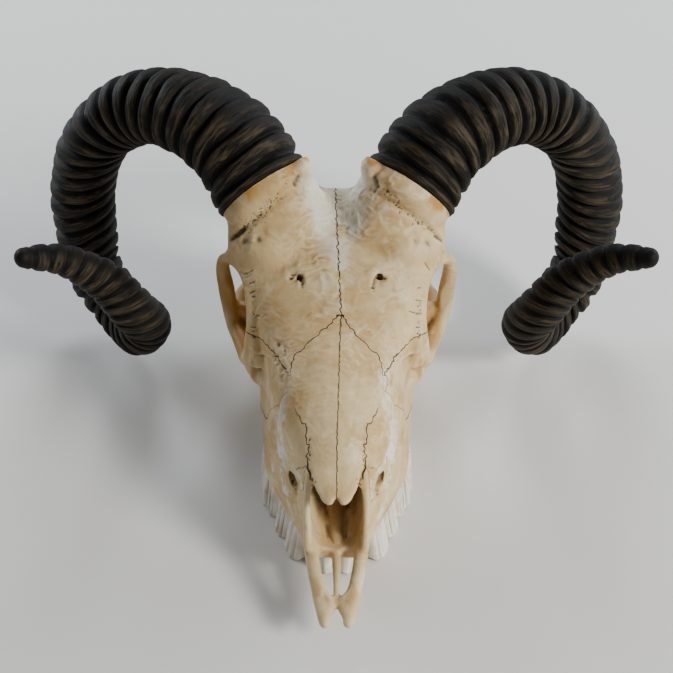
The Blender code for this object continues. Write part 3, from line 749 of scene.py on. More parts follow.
@dataclass(frozen=True)
class BoneFinish:
    """Dry ivory bone with warm, grey and chalky patches, amber stains and dark pits and seams, painted shade
    in its hollows, holes and on its right side, painted cool light on the crown and painted rim light on the
    ridges of the face.
    """
    ivory: Colour = (0.64, 0.475, 0.245)
    warm: Colour = (0.52, 0.33, 0.135)
    cream: Colour = (0.78, 0.665, 0.43)
    grey: Colour = (0.38, 0.33, 0.25)
    # painted cool light: the colour that the crown and the middle of the brow are paled to
    cool: Colour = (0.66, 0.665, 0.60)
    # chalky fibres, partly painted rim light along the ridges of the face
    chalk: Colour = (0.80, 0.79, 0.72)
    # amber stain, and partly painted shade in the orbits, on the skull's right arch and on one wall of the
    # nose
    amber: Colour = (0.42, 0.21, 0.04)
    # the ochre of the nose and its lining, and painted shade deep in the nose, in the orbits and on the
    # skull's right side
    ochre: Colour = (0.37, 0.235, 0.08)
    # painted shade in the hollows, and the dark lines of the seams
    brown: Colour = (0.13, 0.085, 0.045)
    # dirt, and painted shade in holes, pits, slits, grooves and the tear pits; also the darkest line of each
    # seam
    dirt: Colour = (0.02, 0.013, 0.008)
    shine: float = 0.4

    def make(self) -> bpy.types.Material:
        """Builds the material."""
        g = Graph("aged_bone_fine")
        place = g.place()
        broad = g.noise(place, 30, 3, 0.55, 0.6)
        patches = g.noise(g.stretched(place, (1.0, 0.75, 1.0)), 13, 4, 0.6, 1.2)
        fine = g.noise(place, 1.8, 4, 0.6)
        fold = g.value("fold")
        colour = g.mix(broad.step(0.42, 0.62), self.ivory, self.warm)
        colour = g.mix(patches.step(0.5, 0.68) * 0.6, colour, self.cream)
        colour = g.mix((1 - patches).step(0.56, 0.72) * 0.35, colour, self.grey)
        colour = g.mix((0 - fold).step(-0.1, 0.9) * 0.4, colour, self.warm)
        colour = g.mix(fold.step(0.1, 1.0) * 0.3, colour, self.cream)
        # painted cool light: paler and cooler on the crown and along the middle of the brow
        colour = g.mix(g.value("cool").clamped() * (0.25 + patches), colour, self.cool)
        fibres = g.noise(g.stretched(place, (1.0, 0.2, 0.25)), 1.3, 3, 0.6, 0.4)
        # chalky fibrous bands on the ridges of the face, partly painted rim light
        chalk = g.value("white") + (fibres - 0.5) * 2.6
        colour = g.mix(chalk.step(0.1, 1.5) * g.value("white").step(0.02, 0.7), colour, self.chalk)
        colour = g.mix(fine.step(0.5, 0.8) * 0.18, colour, self.warm)
        colour = g.mix(g.value("edge").clamped() * 0.35, colour, self.cream)
        # ochre: the nose's own ochre, and painted shade deep in the nose, in the orbits and on the skull's
        # right side
        colour = g.mix(g.value("ochre").clamped() * (0.55 + broad * 0.5), colour, self.ochre)
        # amber: stains, and partly painted shade in the orbits, on the skull's right arch and on one wall of
        # the nose
        amber = g.value("amber") * (patches * 1.7 + fine * 0.4 - 0.35)
        colour = g.mix(amber.step(0.1, 0.6), colour, self.amber)
        # painted shade: brown where the skin lies below its surroundings, except where cool light is painted
        painted_hollow_shade = g.value("hollow").step(0.35, 1.5) * (1 - g.value("cool").clamped())
        colour = g.mix(painted_hollow_shade * 0.7, colour, self.brown)
        # dirt and painted shade: darkens holes, pits, slits and grooves
        colour = g.mix((g.value("dirt") + fine * 0.3).step(0.3, 1.1), colour, self.dirt)
        colour = g.mix((g.value("seam") + fine * 0.2).step(0.2, 0.9) * 0.9, colour, self.brown)
        colour = g.mix((g.value("seam") + fine * 0.2).step(0.75, 1.1), colour, self.dirt)
        height = fine * 0.5 + g.noise(place, 0.8, 2, 0.6) * 0.3 + patches * 0.3
        rough = 0.4 + fine * 0.2 + g.value("hollow").clamped() * 0.2
        return g.finish(colour, rough, g.bump(height, 0.45), self.shine)


@dataclass(frozen=True)
class ToothFinish:
    """Worn enamel, pinkish white with dull stains in its grooves."""
    enamel: Colour = (0.84, 0.81, 0.72)
    pink: Colour = (0.72, 0.62, 0.51)
    stain: Colour = (0.27, 0.20, 0.13)
    shine: float = 0.5

    def make(self) -> bpy.types.Material:
        """Builds the material."""
        g = Graph("tooth_enamel")
        place = g.place()
        streaks = g.noise(g.stretched(place, (1.0, 1.0, 0.12)), 1.6, 3, 0.6)
        broad = g.noise(place, 9, 2, 0.5)
        colour = g.mix(broad.step(0.4, 0.7), self.enamel, self.pink)
        colour = g.mix(streaks.step(0.5, 0.8) * 0.5, colour, self.pink)
        colour = g.mix(g.value("hollow").step(0.0, 0.9), colour, self.stain)
        return g.finish(colour, 0.3 + broad * 0.25, g.bump(streaks, 0.25), self.shine)


@dataclass(frozen=True)
class HornFinish:
    """Near-black horn with tan where its rings are worn and fine lines along them; the tan shows only on
    faces turned forward and down, partly as painted warm light, and the ring grooves are painted black as
    shade.
    """
    black: Colour = (0.0035, 0.0033, 0.0029)
    brown: Colour = (0.0085, 0.0066, 0.0046)
    tan: Colour = (0.115, 0.085, 0.05)
    shine: float = 0.13

    def make(self) -> bpy.types.Material:
        """Builds the material."""
        g = Graph("dark_horn_fine")
        place = g.place()
        flow = g.node("ShaderNodeCombineXYZ", {}, {"X": g.value("along") * MM, "Y": g.value("turn") * MM})
        lines = g.noise(g.stretched(flow, (1.0, 0.05, 1.0)), 0.75, 4, 0.65, 0.3)
        broken = g.noise(g.stretched(flow, (1.0, 0.16, 1.0)), 2.2, 4, 0.6, 0.5)
        cracks = g.noise(g.stretched(flow, (0.12, 1.0, 1.0)), 1.1, 3, 0.6, 0.4)
        broad = g.noise(place, 24, 3, 0.5)
        colour = g.mix(broad.step(0.38, 0.7), self.black, self.brown)
        # front: the tan of worn crests and fine lines is kept to faces turned forward and down, partly as
        # painted warm light from the front and below
        front = g.value("front").clamped()
        crest = g.value("crest")
        worn = crest.step(0.1, 0.9) * broken.step(0.42, 0.66) * (broad * 2.2 - 0.25).clamped()
        colour = g.mix(worn * front * 0.6, colour, self.tan)
        colour = g.mix(lines.step(0.48, 0.7) * crest.step(-0.2, 0.7) * front * 0.32, colour, self.tan)
        # painted shade: black in the ring grooves, where the skin lies below its surroundings
        colour = g.mix(g.value("hollow").step(0.0, 0.8) * 0.95, colour, self.black)
        height = lines * 0.75 + broken * 0.45 + cracks * 0.2
        return g.finish(colour, 0.44 + lines * 0.3, g.bump(height, 0.8), self.shine)


@dataclass(frozen=True)
class FloorFinish:
    """The plain pale floor."""
    colour: Colour = (0.72, 0.71, 0.69)
    shade: Colour = (0.6, 0.6, 0.6)
    shine: float = 0.3

    def make(self) -> bpy.types.Material:
        """Builds the material."""
        g = Graph("pale_floor")
        grain = g.noise(g.place(), 40, 2, 0.5)
        colour = g.mix(grain * 0.06, self.colour, self.shade)
        return g.finish(colour, 0.8, g.bump(grain, 0.05), self.shine)


def dress(thing: bpy.types.Object, material: bpy.types.Material, sharp: float = SHARP_ANGLE) -> None:
    """Gives an object one material, and smooth shading except where its faces turn by a sharp angle."""
    thing.data.materials.clear()
    thing.data.materials.append(material)
    thing.data.shade_smooth()
    thing.data.set_sharp_from_angle(angle=math.radians(sharp))


def tell(thing: bpy.types.Object) -> None:
    """Reports a finished piece."""
    LOG.info("%s: %d faces", thing.name, len(thing.data.polygons))


def store_hollows(thing: bpy.types.Object, rounds: int, depth: float) -> None:
    """Stores how deep each point lies below the skin round it.

    Args:
        thing: The object.
        rounds: How far round a point its skin is evened out.
        depth: The depth in millimetres that counts as 1.
    """
    points = read_points(thing)
    below = np.sum((neighbour_mean(thing, points, rounds) - points) * read_normals(thing), axis=1)
    write_values(thing, "hollow", np.clip(below / depth, 0, 2))
    write_values(thing, "edge", np.clip(-below / depth, 0, 1))


# The photograph's view


@dataclass(frozen=True)
class View:
    """The photograph's view of the skull, from in front and above."""
    elevation: float = 40.0
    distance: float = 746.0
    lens: float = 70.0
    sensor: float = 36.0
    target: Point = (0, 15, 80)
    picture_height: float = 57.1
    picture_size: float = 673.0

    @property
    def back(self) -> Vector:
        """The direction from the skull to the camera."""
        tilt = math.radians(self.elevation)
        return Vector((0, -math.cos(tilt), math.sin(tilt)))

    @property
    def up(self) -> Vector:
        """The picture's upward direction."""
        tilt = math.radians(self.elevation)
        return Vector((0, math.sin(tilt), math.cos(tilt)))

    @property
    def eye(self) -> Vector:
        """The camera's place."""
        target = Vector(self.target)
        return target + self.back * self.distance + self.up * (self.picture_height - target.dot(self.up))

    def place(self, tree: BVHTree, spot: tuple[float, float]) -> np.ndarray:
        """Finds the place on the skull that a spot of the picture shows.

        Args:
            tree: The skull's skin, in metres.
            spot: Pixels from the picture's left and upper edge.

        Returns:
            The place in millimetres, or a far one where the spot shows no bone.
        """
        centre = self.picture_size / 2
        focal = self.lens / self.sensor * self.picture_size
        way = Vector((spot[0] - centre, 0, 0)) + self.up * (centre - spot[1]) - self.back * focal
        eye = Vector(to_metres(np.array(self.eye)))
        found = tree.ray_cast(eye, way.normalized())[0]
        if found is None:
            return np.full(3, NOWHERE)
        return to_mm(np.array([found]))[0]

    def other_side(self, spots: Spots) -> Spots:
        """Mirrors spots to the skull's other side."""
        return [(self.picture_size - x, y) for x, y in spots]


# Horns


@dataclass
class Horn:
    """One ringed horn: a spiral tube from the rim on its bony core to the tip."""
    side: Side
    way: Sequence[Point] = ((41, 53, 138), (58, 62, 164), (80, 74, 173.8), (105.6, 89, 171),
                            (132.2, 103, 151.3), (150.4, 114, 121), (157.7, 118, 93), (158, 115, 63),
                            (154, 105, 43), (140, 88, 30), (124, 62, 30), (114, 41, 50.5), (117, 25, 73.5),
                            (132, 10, 110), (149, -4, 132), (163, -18, 143))
    girth: Knots = ((0, 27.5), (30, 26), (60, 22.8), (90, 19.8), (125, 18.8), (165, 18.7), (192, 19.1),
                    (225, 18.2), (290, 15.2), (335, 13.8), (362, 13), (385, 12), (405, 10.5), (436, 7.7),
                    (452, 6.2), (461, 4.5))
    pitch: float = 10.57
    first_ring: float = 1.5
    front_lean: Knots = ((0, 0.4), (60, 0.29), (90, 0.1), (120, -0.35), (150, 0.15), (180, 0.4), (350, 0.6),
                         (390, 0.5), (461, 0.35))
    outer_lean: Knots = ((0, 0), (12, 0.28), (30, 0.03), (60, -0.17), (90, -0.2), (120, 0.19), (150, 0.68),
                         (180, 0.4), (220, 0.46), (350, 0.8), (390, 0.35), (461, -0.1))
    ring_height: Knots = ((0, 1.5), (60, 1.6), (300, 1.2), (400, 0.8), (461, 0.4))
    valley_depth: float = 2.1
    valley_sharpness: float = 3.4
    rib_height: float = 0.07
    fibre_height: float = 0.13
    inset: float = 0.25
    tip_rows: int = 9
    room_length: float = 70.0
    room_rows: int = 30
    room_sides: int = 96
    room_margin: float = 5.0
    hub: Point = (95, 80, 95)
    front_up: Point = (0, -0.77, 0.64)
    step: float = 0.75
    sides: int = 160
    seed: int = 5

    def __post_init__(self) -> None:
        """Works out the middle line once."""
        self.points = np.array(self.way, float)
        self.knots = lengths_along(self.points)
        self.length = float(self.knots[-1])

    def frames(self, places: np.ndarray) -> tuple[np.ndarray, ...]:
        """Gives the middle point and three directions at places along the horn.

        Args:
            places: Distances from the bone in millimetres.

        Returns:
            Arrays of middle points, directions along, outward and across.
        """
        reach = 0.5
        near = smooth_values(self.knots, self.points, places - reach)
        middle = smooth_values(self.knots, self.points, places)
        far = smooth_values(self.knots, self.points, places + reach)
        along = far - near
        along /= np.linalg.norm(along, axis=1)[:, None]
        out = middle - np.array(self.hub, float)
        out -= along * np.sum(out * along, axis=1)[:, None]
        out /= np.linalg.norm(out, axis=1)[:, None]
        return middle, along, out, np.cross(along, out)

    def slide(self, places: Any, aside: np.ndarray, out: np.ndarray) -> np.ndarray:
        """Tells how far rings slide along the horn, as they lean to the front and to the outer side.

        Args:
            places: Distances from the bone.
            aside: From the middle line to the surface, in millimetres.
            out: The outward direction at each place.

        Returns:
            The shift along the horn in millimetres.
        """
        front = read_table(self.front_lean, places) * (aside @ np.array(self.front_up))
        return front + read_table(self.outer_lean, places) * np.sum(aside * out, axis=-1)

    def build(self) -> bpy.types.Object:
        """Builds the horn's mesh with its rings, fine ribs and the values that its finish reads."""
        rows = np.arange(0.0, self.length + self.step / 2, self.step)
        turns = np.linspace(0, 2 * math.pi, self.sides, endpoint=False)
        middle, along, out, across = self.frames(rows)
        place, turn = np.meshgrid(rows, turns, indexing="ij")
        round_it = out[:, None] * np.cos(turn)[..., None] + across[:, None] * np.sin(turn)[..., None]
        radius = read_table(self.girth, place)
        relief, crest = self._relief(place, np.cos(turn) * radius, np.sin(turn) * radius)
        fade = soft_step(-2, 4, place) * soft_step(0, 5, self.length - place)
        aside = round_it * (radius + relief * fade - self.inset)[..., None]
        shift = self.slide(place, aside, out[:, None])
        points = middle[:, None] + aside + along[:, None] * shift[..., None]
        rings = [points[row] for row in range(len(rows))]
        rings = np.array(self._base(rings) + rings[1:] + self._tip(rings[-1], middle[-1], along[-1]))
        rings[..., 0] *= self.side.value
        thing = loft(f"horn_sheath_{self.side.label}", rings)
        self._store(thing, len(rings), rows, turns, crest * fade)
        return thing

    def _relief(self, place: np.ndarray, out: np.ndarray, across: np.ndarray) -> tuple[np.ndarray, ...]:
        """Works out the rings of the horn with their fine ribs and fibres.

        Args:
            place: Distance of each point from the bone.
            out: How far outward of the middle line it lies.
            across: How far across it lies.

        Returns:
            How far each point is raised and how near it is to the crest of a ring or rib.
        """
        grain = Grain(self.seed + self.side.value)
        along = place.ravel()
        spots = np.column_stack([along, out.ravel(), across.ravel()])
        wander = grain.layers(spots, 26, 2) * 1.5 + grain.at(spots + 50, 9) * 0.5
        phase = (along + wander - self.first_ring) / self.pitch
        own = grain.at(np.column_stack([np.round(phase) * 9.7, spots[:, 1:] / 3]), 5)
        dip = (1 - np.cos(2 * math.pi * phase)) / 2
        swell = 1 - self.valley_depth * dip ** self.valley_sharpness
        ribs = np.cos(2 * math.pi * (phase * 4 + own * 0.8 + grain.at(spots, 16) * 0.9))
        ribs += 0.5 * np.cos(2 * math.pi * (phase * 9 + own + grain.at(spots + 7, 12)))
        fibres = grain.at(np.column_stack([along, spots[:, 1:] / 9]), 1.1)
        height = read_table(self.ring_height, along)
        relief = height * (swell * (1 + 0.3 * own) + self.rib_height * ribs * (1 - dip))
        relief += fibres * self.fibre_height * height
        return relief.reshape(place.shape), (swell + 0.35 * ribs).reshape(place.shape)

    def _base(self, rings: list[np.ndarray]) -> list[np.ndarray]:
        """Rounds the rim at the bone: a narrower ring first, then the full one."""
        centre = rings[0].mean(axis=0)
        forward = rings[1].mean(axis=0) - centre
        return [centre + (rings[0] - centre) * 0.975, centre + (rings[0] - centre) * 0.995 + forward * 0.4]

    def _tip(self, last: np.ndarray, middle: np.ndarray, along: np.ndarray) -> list[np.ndarray]:
        """Rounds the worn end of the horn."""
        radius = float(np.linalg.norm(last - middle, axis=1).mean())
        caps = []
        for turn in np.linspace(0, math.pi / 2, self.tip_rows)[1:-1]:
            caps.append(middle + along * radius * 0.95 * math.sin(turn) + (last - middle) * math.cos(turn))
        return caps

    def _store(self, thing: bpy.types.Object, count: int, rows: np.ndarray, turns: np.ndarray,
               crest: np.ndarray) -> None:
        """Stores place along, turn and crest of each point for the finish."""
        extra = count - len(rows)
        padded_rows = np.concatenate([[0.0], rows, np.full(extra - 1, rows[-1])])
        padded = np.vstack([crest[:1] * 0, crest, np.zeros((extra - 1, len(turns)))])
        girth = read_table(self.girth, padded_rows)
        write_values(thing, "along", np.repeat(padded_rows, len(turns)))
        write_values(thing, "turn", (girth[:, None] * np.abs(turns - math.pi)[None, :]).ravel())
        write_values(thing, "crest", padded.ravel())

    def room(self, clearance: float) -> bpy.types.Object:
        """The space of the horn's base, by which the bony core is cut off."""
        places = np.linspace(0, self.room_length, self.room_rows)
        middle, along, out, across = self.frames(places)
        turns = np.linspace(0, 2 * math.pi, self.room_sides, endpoint=False)
        rings = []
        for row, place in enumerate(places):
            radius = float(read_table(self.girth, place)) + self.room_margin
            aside = (np.outer(np.cos(turns), out[row]) + np.outer(np.sin(turns), across[row])) * radius
            shift = self.slide(place, aside, out[row]) - clearance
            rings.append(middle[row] + aside + np.outer(shift, along[row]))
        return loft("horn_room", rings)


# Bone


class FaceSection(NamedTuple):
    """Half outline of the face across the skull at one place along it."""
    y: float
    roof: float
    shoulder_x: float
    shoulder_z: float
    cheek_x: float
    cheek_z: float
    gum_x: float
    gum_z: float
    inner_x: float
    palate: float

    def outline(self) -> np.ndarray:
        """Points round the face, from the roof down the left side to the palate first."""
        return mirrored([(0, self.roof), (self.shoulder_x, self.shoulder_z), (self.cheek_x, self.cheek_z),
                         (self.gum_x, self.gum_z), (self.inner_x, self.gum_z), (0, self.palate)])


class SkullSection(NamedTuple):
    """Half outline of the forehead and braincase at one place along the skull."""
    y: float
    roof: float
    ridge_x: float
    ridge_z: float
    side_x: float
    side_z: float
    floor_x: float
    floor: float

    def outline(self) -> np.ndarray:
        """Points round the skull, from the roof down the left side to the floor first."""
        return mirrored([(0, self.roof), (self.ridge_x, self.ridge_z), (self.side_x, self.side_z),
                         (self.floor_x, self.floor + 2), (0, self.floor)])


class NoseSection(NamedTuple):
    """Half outline of the open space of the nose at one place along it."""
    y: float
    low: float
    high: float
    half_width: float

    def outline(self) -> np.ndarray:
        """Points round the space, from its top down the left side first."""
        half, middle = self.half_width, (self.low + self.high) / 2
        return mirrored([(0, self.high), (half * 0.75, self.high - 3), (half, middle),
                         (half * 0.7, self.low + 2), (0, self.low)])


class PlateSection(NamedTuple):
    """A flat strip of bone across the skull: how far in and out, low and high it goes."""
    y: float
    inner_x: float
    outer_x: float
    low: float
    high: float

    def outline(self) -> list[tuple[float, float]]:
        """Points round the strip."""
        middle = (self.low + self.high) / 2
        centre = (self.inner_x + self.outer_x) / 2
        return [(self.inner_x, middle), (self.inner_x + 1, self.high - 1), (centre, self.high),
                (self.outer_x - 1, self.high - 1.2), (self.outer_x, middle), (self.outer_x - 1, self.low + 1),
                (centre, self.low), (self.inner_x + 1, self.low + 1)]


@dataclass
class Face:
    """The face and the nose: maxillae, nasal bones and premaxillae with the space between them."""
    sections: Sequence[FaceSection] = (
        FaceSection(-116, 31, 5, 30, 10, 27, 13, 20, 8, 20),
        FaceSection(-107, 50, 9, 47, 14, 35, 16, 19, 8, 21),
        FaceSection(-98, 68, 12, 63, 18, 42, 18.5, 19, 9, 22),
        FaceSection(-90, 76, 14, 71, 23, 44, 23, 20, 11, 24),
        FaceSection(-78, 82, 17, 77, 29, 47, 28.5, 21, 15, 28),
        FaceSection(-62, 90, 22, 83, 36, 46, 36.5, 23, 21, 31),
        FaceSection(-45, 97, 27, 88, 38.4, 44, 39, 24, 24, 33),
        FaceSection(-25, 103, 34, 92, 38.6, 54, 40, 26, 25, 34),
        FaceSection(-8, 110, 41, 98, 42, 62, 39, 30, 22, 36),
        FaceSection(6, 114, 42, 102, 34, 64, 28, 38, 14, 38))
    plates: Sequence[PlateSection] = (
        PlateSection(-158.9, 3.9, 8.0, 16.6, 19.4), PlateSection(-157, 3.1, 8.9, 15.8, 20.4),
        PlateSection(-153, 2.6, 9.8, 15.8, 21.4), PlateSection(-148, 0.6, 10.9, 16.2, 22.3),
        PlateSection(-145, 0.6, 11.7, 17, 23.3), PlateSection(-138, 5, 13, 18, 25),
        PlateSection(-130, 7.2, 14.6, 19.5, 27), PlateSection(-120, 8.8, 16.2, 21.5, 31),
        PlateSection(-112, 9.6, 17.4, 23.5, 35), PlateSection(-102, 10, 17.5, 26, 38))
    space: Sequence[NoseSection] = (
        NoseSection(-126, 26, 40, 8), NoseSection(-112, 27.5, 57, 12.5), NoseSection(-100, 29, 62.5, 14),
        NoseSection(-88, 31, 69, 14.5), NoseSection(-70, 35, 76.5, 14), NoseSection(-52, 42, 81, 12),
        NoseSection(-42, 50, 80, 8))
    end_halves: Knots = ((66, 14.5), (80, 13.8), (88, 12.4), (94, 11.4), (99, 9.8), (103, 7.0), (106, 2.6))
    end_inner: Knots = ((66, -1.2), (99, -1.2), (106, 2.2))
    end_profile: Knots = ((0, 0), (0.5, -0.4), (1, 0), (1, 2.8), (0.5, 3), (0, 3.2))
    end_rows: int = 30
    end_split: float = 100.0
    end_droop: float = 2.6
    end_width: float = 14.0
    nasion: Point = (0, -19, 106)
    nasal_tip: Point = (0, -115, 60.5)

    def __post_init__(self) -> None:
        """Works out the line of the nasal bones."""
        self.start = Vector(self.nasion)
        self.line = (Vector(self.nasal_tip) - self.start).normalized()
        self.rise = Vector((0, self.line.z, -self.line.y))

    def nasal_place(self, x: float, u: float, height: float) -> Vector:
        """Gives a point beside, along and above the line of the nasal bones."""
        return self.start + self.line * u + self.rise * height + Vector((x, 0, 0))

    def middle_forms(self) -> list[bpy.types.Object]:
        """Bodies that lie across the skull's middle."""
        spike = bar("premaxilla_spike", [(0, -98, 24), (0, -106, 24), (0, -112, 23.6), (0, -122, 23),
                                         (0, -134, 21.5), (0, -141, 20.3), (0, -147, 19.5)],
                    [5.4, 5.2, 3.4, 2.6, 1.9, 1.85, 1.9])
        return [section_loft("face", self.sections), spike, *self.nasal_ends()]

    def nasal_ends(self) -> list[bpy.types.Object]:
        """The free ends of the nasal bones, each running out to a point."""
        knots, halves = np.array(self.end_halves).T
        places = np.linspace(knots[0], knots[-1], self.end_rows)
        ends = []
        for side in (-1, 1):
            rings = []
            for u, half in zip(places, smooth_values(knots, halves, places)):
                inner = float(read_table(self.end_inner, u))
                outer = inner + half if u > self.end_split else half
                rings.append([self.nasal_place(side * (inner + (outer - inner) * share), u,
                                               -self.end_droop * share ** 2 * (half / self.end_width) - lift)
                              for share, lift in self.end_profile])
            ends.append(loft("nasal_end", rings))
        return ends

    def left_forms(self) -> list[bpy.types.Object]:
        """Bodies of the left side, which are mirrored."""
        return [
            section_loft("premaxilla_body", self.plates, 70, 40),
            bar("premaxilla_rise", [(14.4, -119, 30), (15.2, -110, 41), (14.8, -101, 53), (13.2, -93, 65)],
                [2.6, 2.4, 2.3, 2.6]),
            bar("cheek_swelling", [(32, -58, 36), (31.3, -38, 40), (33.2, -20, 47), (39, -7, 52),
                                   (48, 6, 54)], [6.2, 7, 7.2, 7.8, 7]),
        ]

    def hollow(self) -> bpy.types.Object:
        """The open space of the nose, from its mouth to where no light reaches."""
        return section_loft("nasal_hollow", self.space, 40, 48)

    def inner_forms(self) -> list[bpy.types.Object]:
        """What stands inside the nose: the shells along its walls."""
        return both_sides([
            bar("shell_low", [(12.5, -86, 48), (11, -71, 53), (9, -53, 60)], [2.2, 4.1, 4.6]),
            bar("shell_high", [(8.5, -80, 68), (8, -66, 72), (7, -52, 74)], [1.6, 3, 3.4])])


@dataclass
class Lining:
    """The rough brown strip that runs back along the floor of the nose."""
    rows: Sequence[Point] = ((-112, 3.0, 28.0), (-108, 3.7, 29.4), (-96, 4.3, 31.4), (-80, 5.2, 34.8),
                             (-60, 6.8, 40.6), (-45, 8.0, 49))
    thickness: float = 7.0
    step: float = 0.6
    sides: int = 64
    roughness: float = 0.55
    seed: int = 17

    def edge(self, y: np.ndarray) -> tuple[np.ndarray, np.ndarray]:
        """Gives the strip's half width and the height of its top at places along the skull."""
        places, halves, tops = zip(*self.rows)
        return np.interp(y, places, halves), np.interp(y, places, tops)

    def build(self, material: bpy.types.Material) -> bpy.types.Object:
        """Builds and dresses the strip."""
        places = np.arange(self.rows[0][0], self.rows[-1][0], self.step)
        turns = np.linspace(0, 2 * math.pi, self.sides, endpoint=False)
        y, turn = np.meshgrid(places, turns, indexing="ij")
        half, top = self.edge(y)
        lift = self.thickness / 2
        spots = np.column_stack([(half * np.cos(turn)).ravel(), y.ravel(), (lift * np.sin(turn)).ravel()])
        grain = Grain(self.seed)
        rough = (grain.layers(spots, 4, 3) * self.roughness).reshape(y.shape)
        flat = np.sign(np.sin(turn)) * np.abs(np.sin(turn)) ** 0.6
        rings = np.stack([(half + rough) * np.cos(turn), y, top - lift + lift * flat + rough], axis=-1)
        thing = loft("nasal_lining", rings)
        count = len(thing.data.vertices)
        spread_grain = grain.layers(read_points(thing), 7, 2)
        write_values(thing, "ochre", np.full(count, 0.5))
        write_values(thing, "amber", 0.25 + 0.4 * spread_grain)
        write_values(thing, "dirt", soft_step(0.2, 0.9, -spread_grain) * 0.6)
        store_hollows(thing, 6, 0.3)
        dress(thing, material)
        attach(thing, "root")
        tell(thing)
        return thing


@dataclass
class Orbit:
    """The left orbit with its rim, floor and cheek arch, and the pits round it."""
    rim: Sequence[Point] = ((49.5, 12, 102.5), (46.5, -3, 90), (47.5, -8, 75), (49.5, -4, 62), (54, 13, 56.5),
                            (60.2, 30, 59), (64.3, 38, 80), (63.7, 35, 103), (56, 25, 106.5))
    rim_radii: Sequence[float] = (3.2, 3.6, 4.5, 5.2, 5, 4.6, 4.8, 4.2, 3.2)

    def left_forms(self) -> list[bpy.types.Object]:
        """Bodies of the left side, which are mirrored."""
        return [
            bar("orbit_rim", self.rim, self.rim_radii, closed=True),
            bar("orbit_root", [(45, 5, 99), (43.5, -5, 88), (43, -11, 76), (42, -14, 66)], [4, 5, 6, 7]),
            bar("orbit_back", [(48, 31, 62), (55, 36, 65), (62, 39, 66)], [4.5, 4.8, 4]),
            bar("orbit_floor", [(40, -8, 56), (46, 8, 51), (51, 24, 52), (54.5, 36, 53), (56, 47, 52)],
                [10, 8.5, 7, 6, 5]),
            bar("cheek_arch", [(49, 2, 54), (55.5, 22, 54.5), (60, 38, 55), (60.5, 54, 55), (54, 68, 57),
                               (42, 80, 60)], [4.5, 4.8, 4.4, 4.2, 4.6, 7]),
        ]

    def left_hollows(self) -> list[bpy.types.Object]:
        """Bodies that are carved out of the left side."""
        return [
            bar("orbit_bowl", [(40, 14, 80), (56, 15, 80), (76, 17, 80)], [14, 18.5, 19]),
            bar("temple", [(49, 34, 89), (48, 48, 86), (48, 66, 78)], [10, 13, 12]),
            bar("tear_pit", [(56, -20, 68), (51.5, -30, 71), (47, -42, 73)], [10, 12, 8]),
            bar("infraorbital", [(27.5, -99, 42), (24.2, -89, 48), (19, -78, 54)], [3.0, 3.2, 2.4]),
        ]


@dataclass
class Rear:
    """The rear of the skull: braincase, condyles, ear swellings, processes and crest."""
    sections: Sequence[SkullSection] = (
        SkullSection(-28, 101, 30, 93, 34, 70, 18, 36), SkullSection(-5, 111, 43, 97, 40, 74, 18, 35),
        SkullSection(11, 118, 50, 103, 37, 82, 17, 33), SkullSection(28, 125, 60, 108, 34, 84, 16, 31),
        SkullSection(44, 131, 62.5, 114, 33, 80, 16, 30), SkullSection(60, 134, 54, 119, 35, 76, 18, 29),
        SkullSection(76, 120, 34, 110, 36, 72, 20, 29), SkullSection(90, 101, 28, 95, 37, 66, 20, 29),
        SkullSection(100, 88, 30, 82, 38, 58, 18, 31), SkullSection(109, 70, 22, 66, 30, 52, 12, 35))

    def middle_forms(self) -> list[bpy.types.Object]:
        """Bodies that lie across the skull's middle."""
        return [section_loft("braincase", self.sections),
                bar("base_bar", [(0, 30, 38), (0, 60, 33), (0, 90, 33), (0, 110, 36)], [8, 9, 10, 10])]

    def left_forms(self) -> list[bpy.types.Object]:
        """Bodies of the left side, which are mirrored."""
        return [
            bar("condyle", [(7, 108, 33), (13, 114, 38), (15, 112, 52)], [6, 8, 6]),
            ball("bulla", (22, 84, 25), (8, 11, 10)),
            bar("ear_tube", [(26, 86, 38), (40, 84, 46)], [8, 5]),
            bar("mastoid", [(34, 96, 68), (37, 99, 50), (33, 100, 34)], [6, 7, 7]),
            bar("paroccipital", [(33, 100, 36), (29.5, 101, 16), (28, 99, -3)], [6.5, 4.6, 3]),
            bar("nape_crest", [(0, 101, 88), (18, 101, 84), (33, 98, 70)], [6, 5.5, 5]),
            bar("pterygoid", [(13, 4, 40), (12, 16, 26), (11, 34, 24), (11, 48, 32)], [3, 2.6, 2.4, 3]),
            bar("arch_root", [(33, 74, 60), (46, 72, 58), (52, 66, 60)], [9, 7, 5]),
        ]

    def hollows(self) -> list[bpy.types.Object]:
        """Bodies that are carved out of the skull's middle."""
        return [bar("foramen_magnum", [(0, 130, 49), (0, 104, 52), (0, 84, 56)], [10.5, 10, 9]),
                bar("choana", [(0, 26, 36), (0, 8, 44), (0, -8, 50)], [8, 9, 8])]

    def left_hollows(self) -> list[bpy.types.Object]:
        """Openings of the left side: the ear and the holes of the base."""
        return [bar("ear_hole", [(52, 84, 49), (42, 84, 47), (34, 85, 44)], [2.4, 2.6, 2.0]),
                bar("base_hole", [(13, 66, 18), (13, 64, 30)], [2.2, 1.8]),
                bar("condyle_hole", [(20, 104, 24), (17, 103, 36)], [1.8, 1.5])]


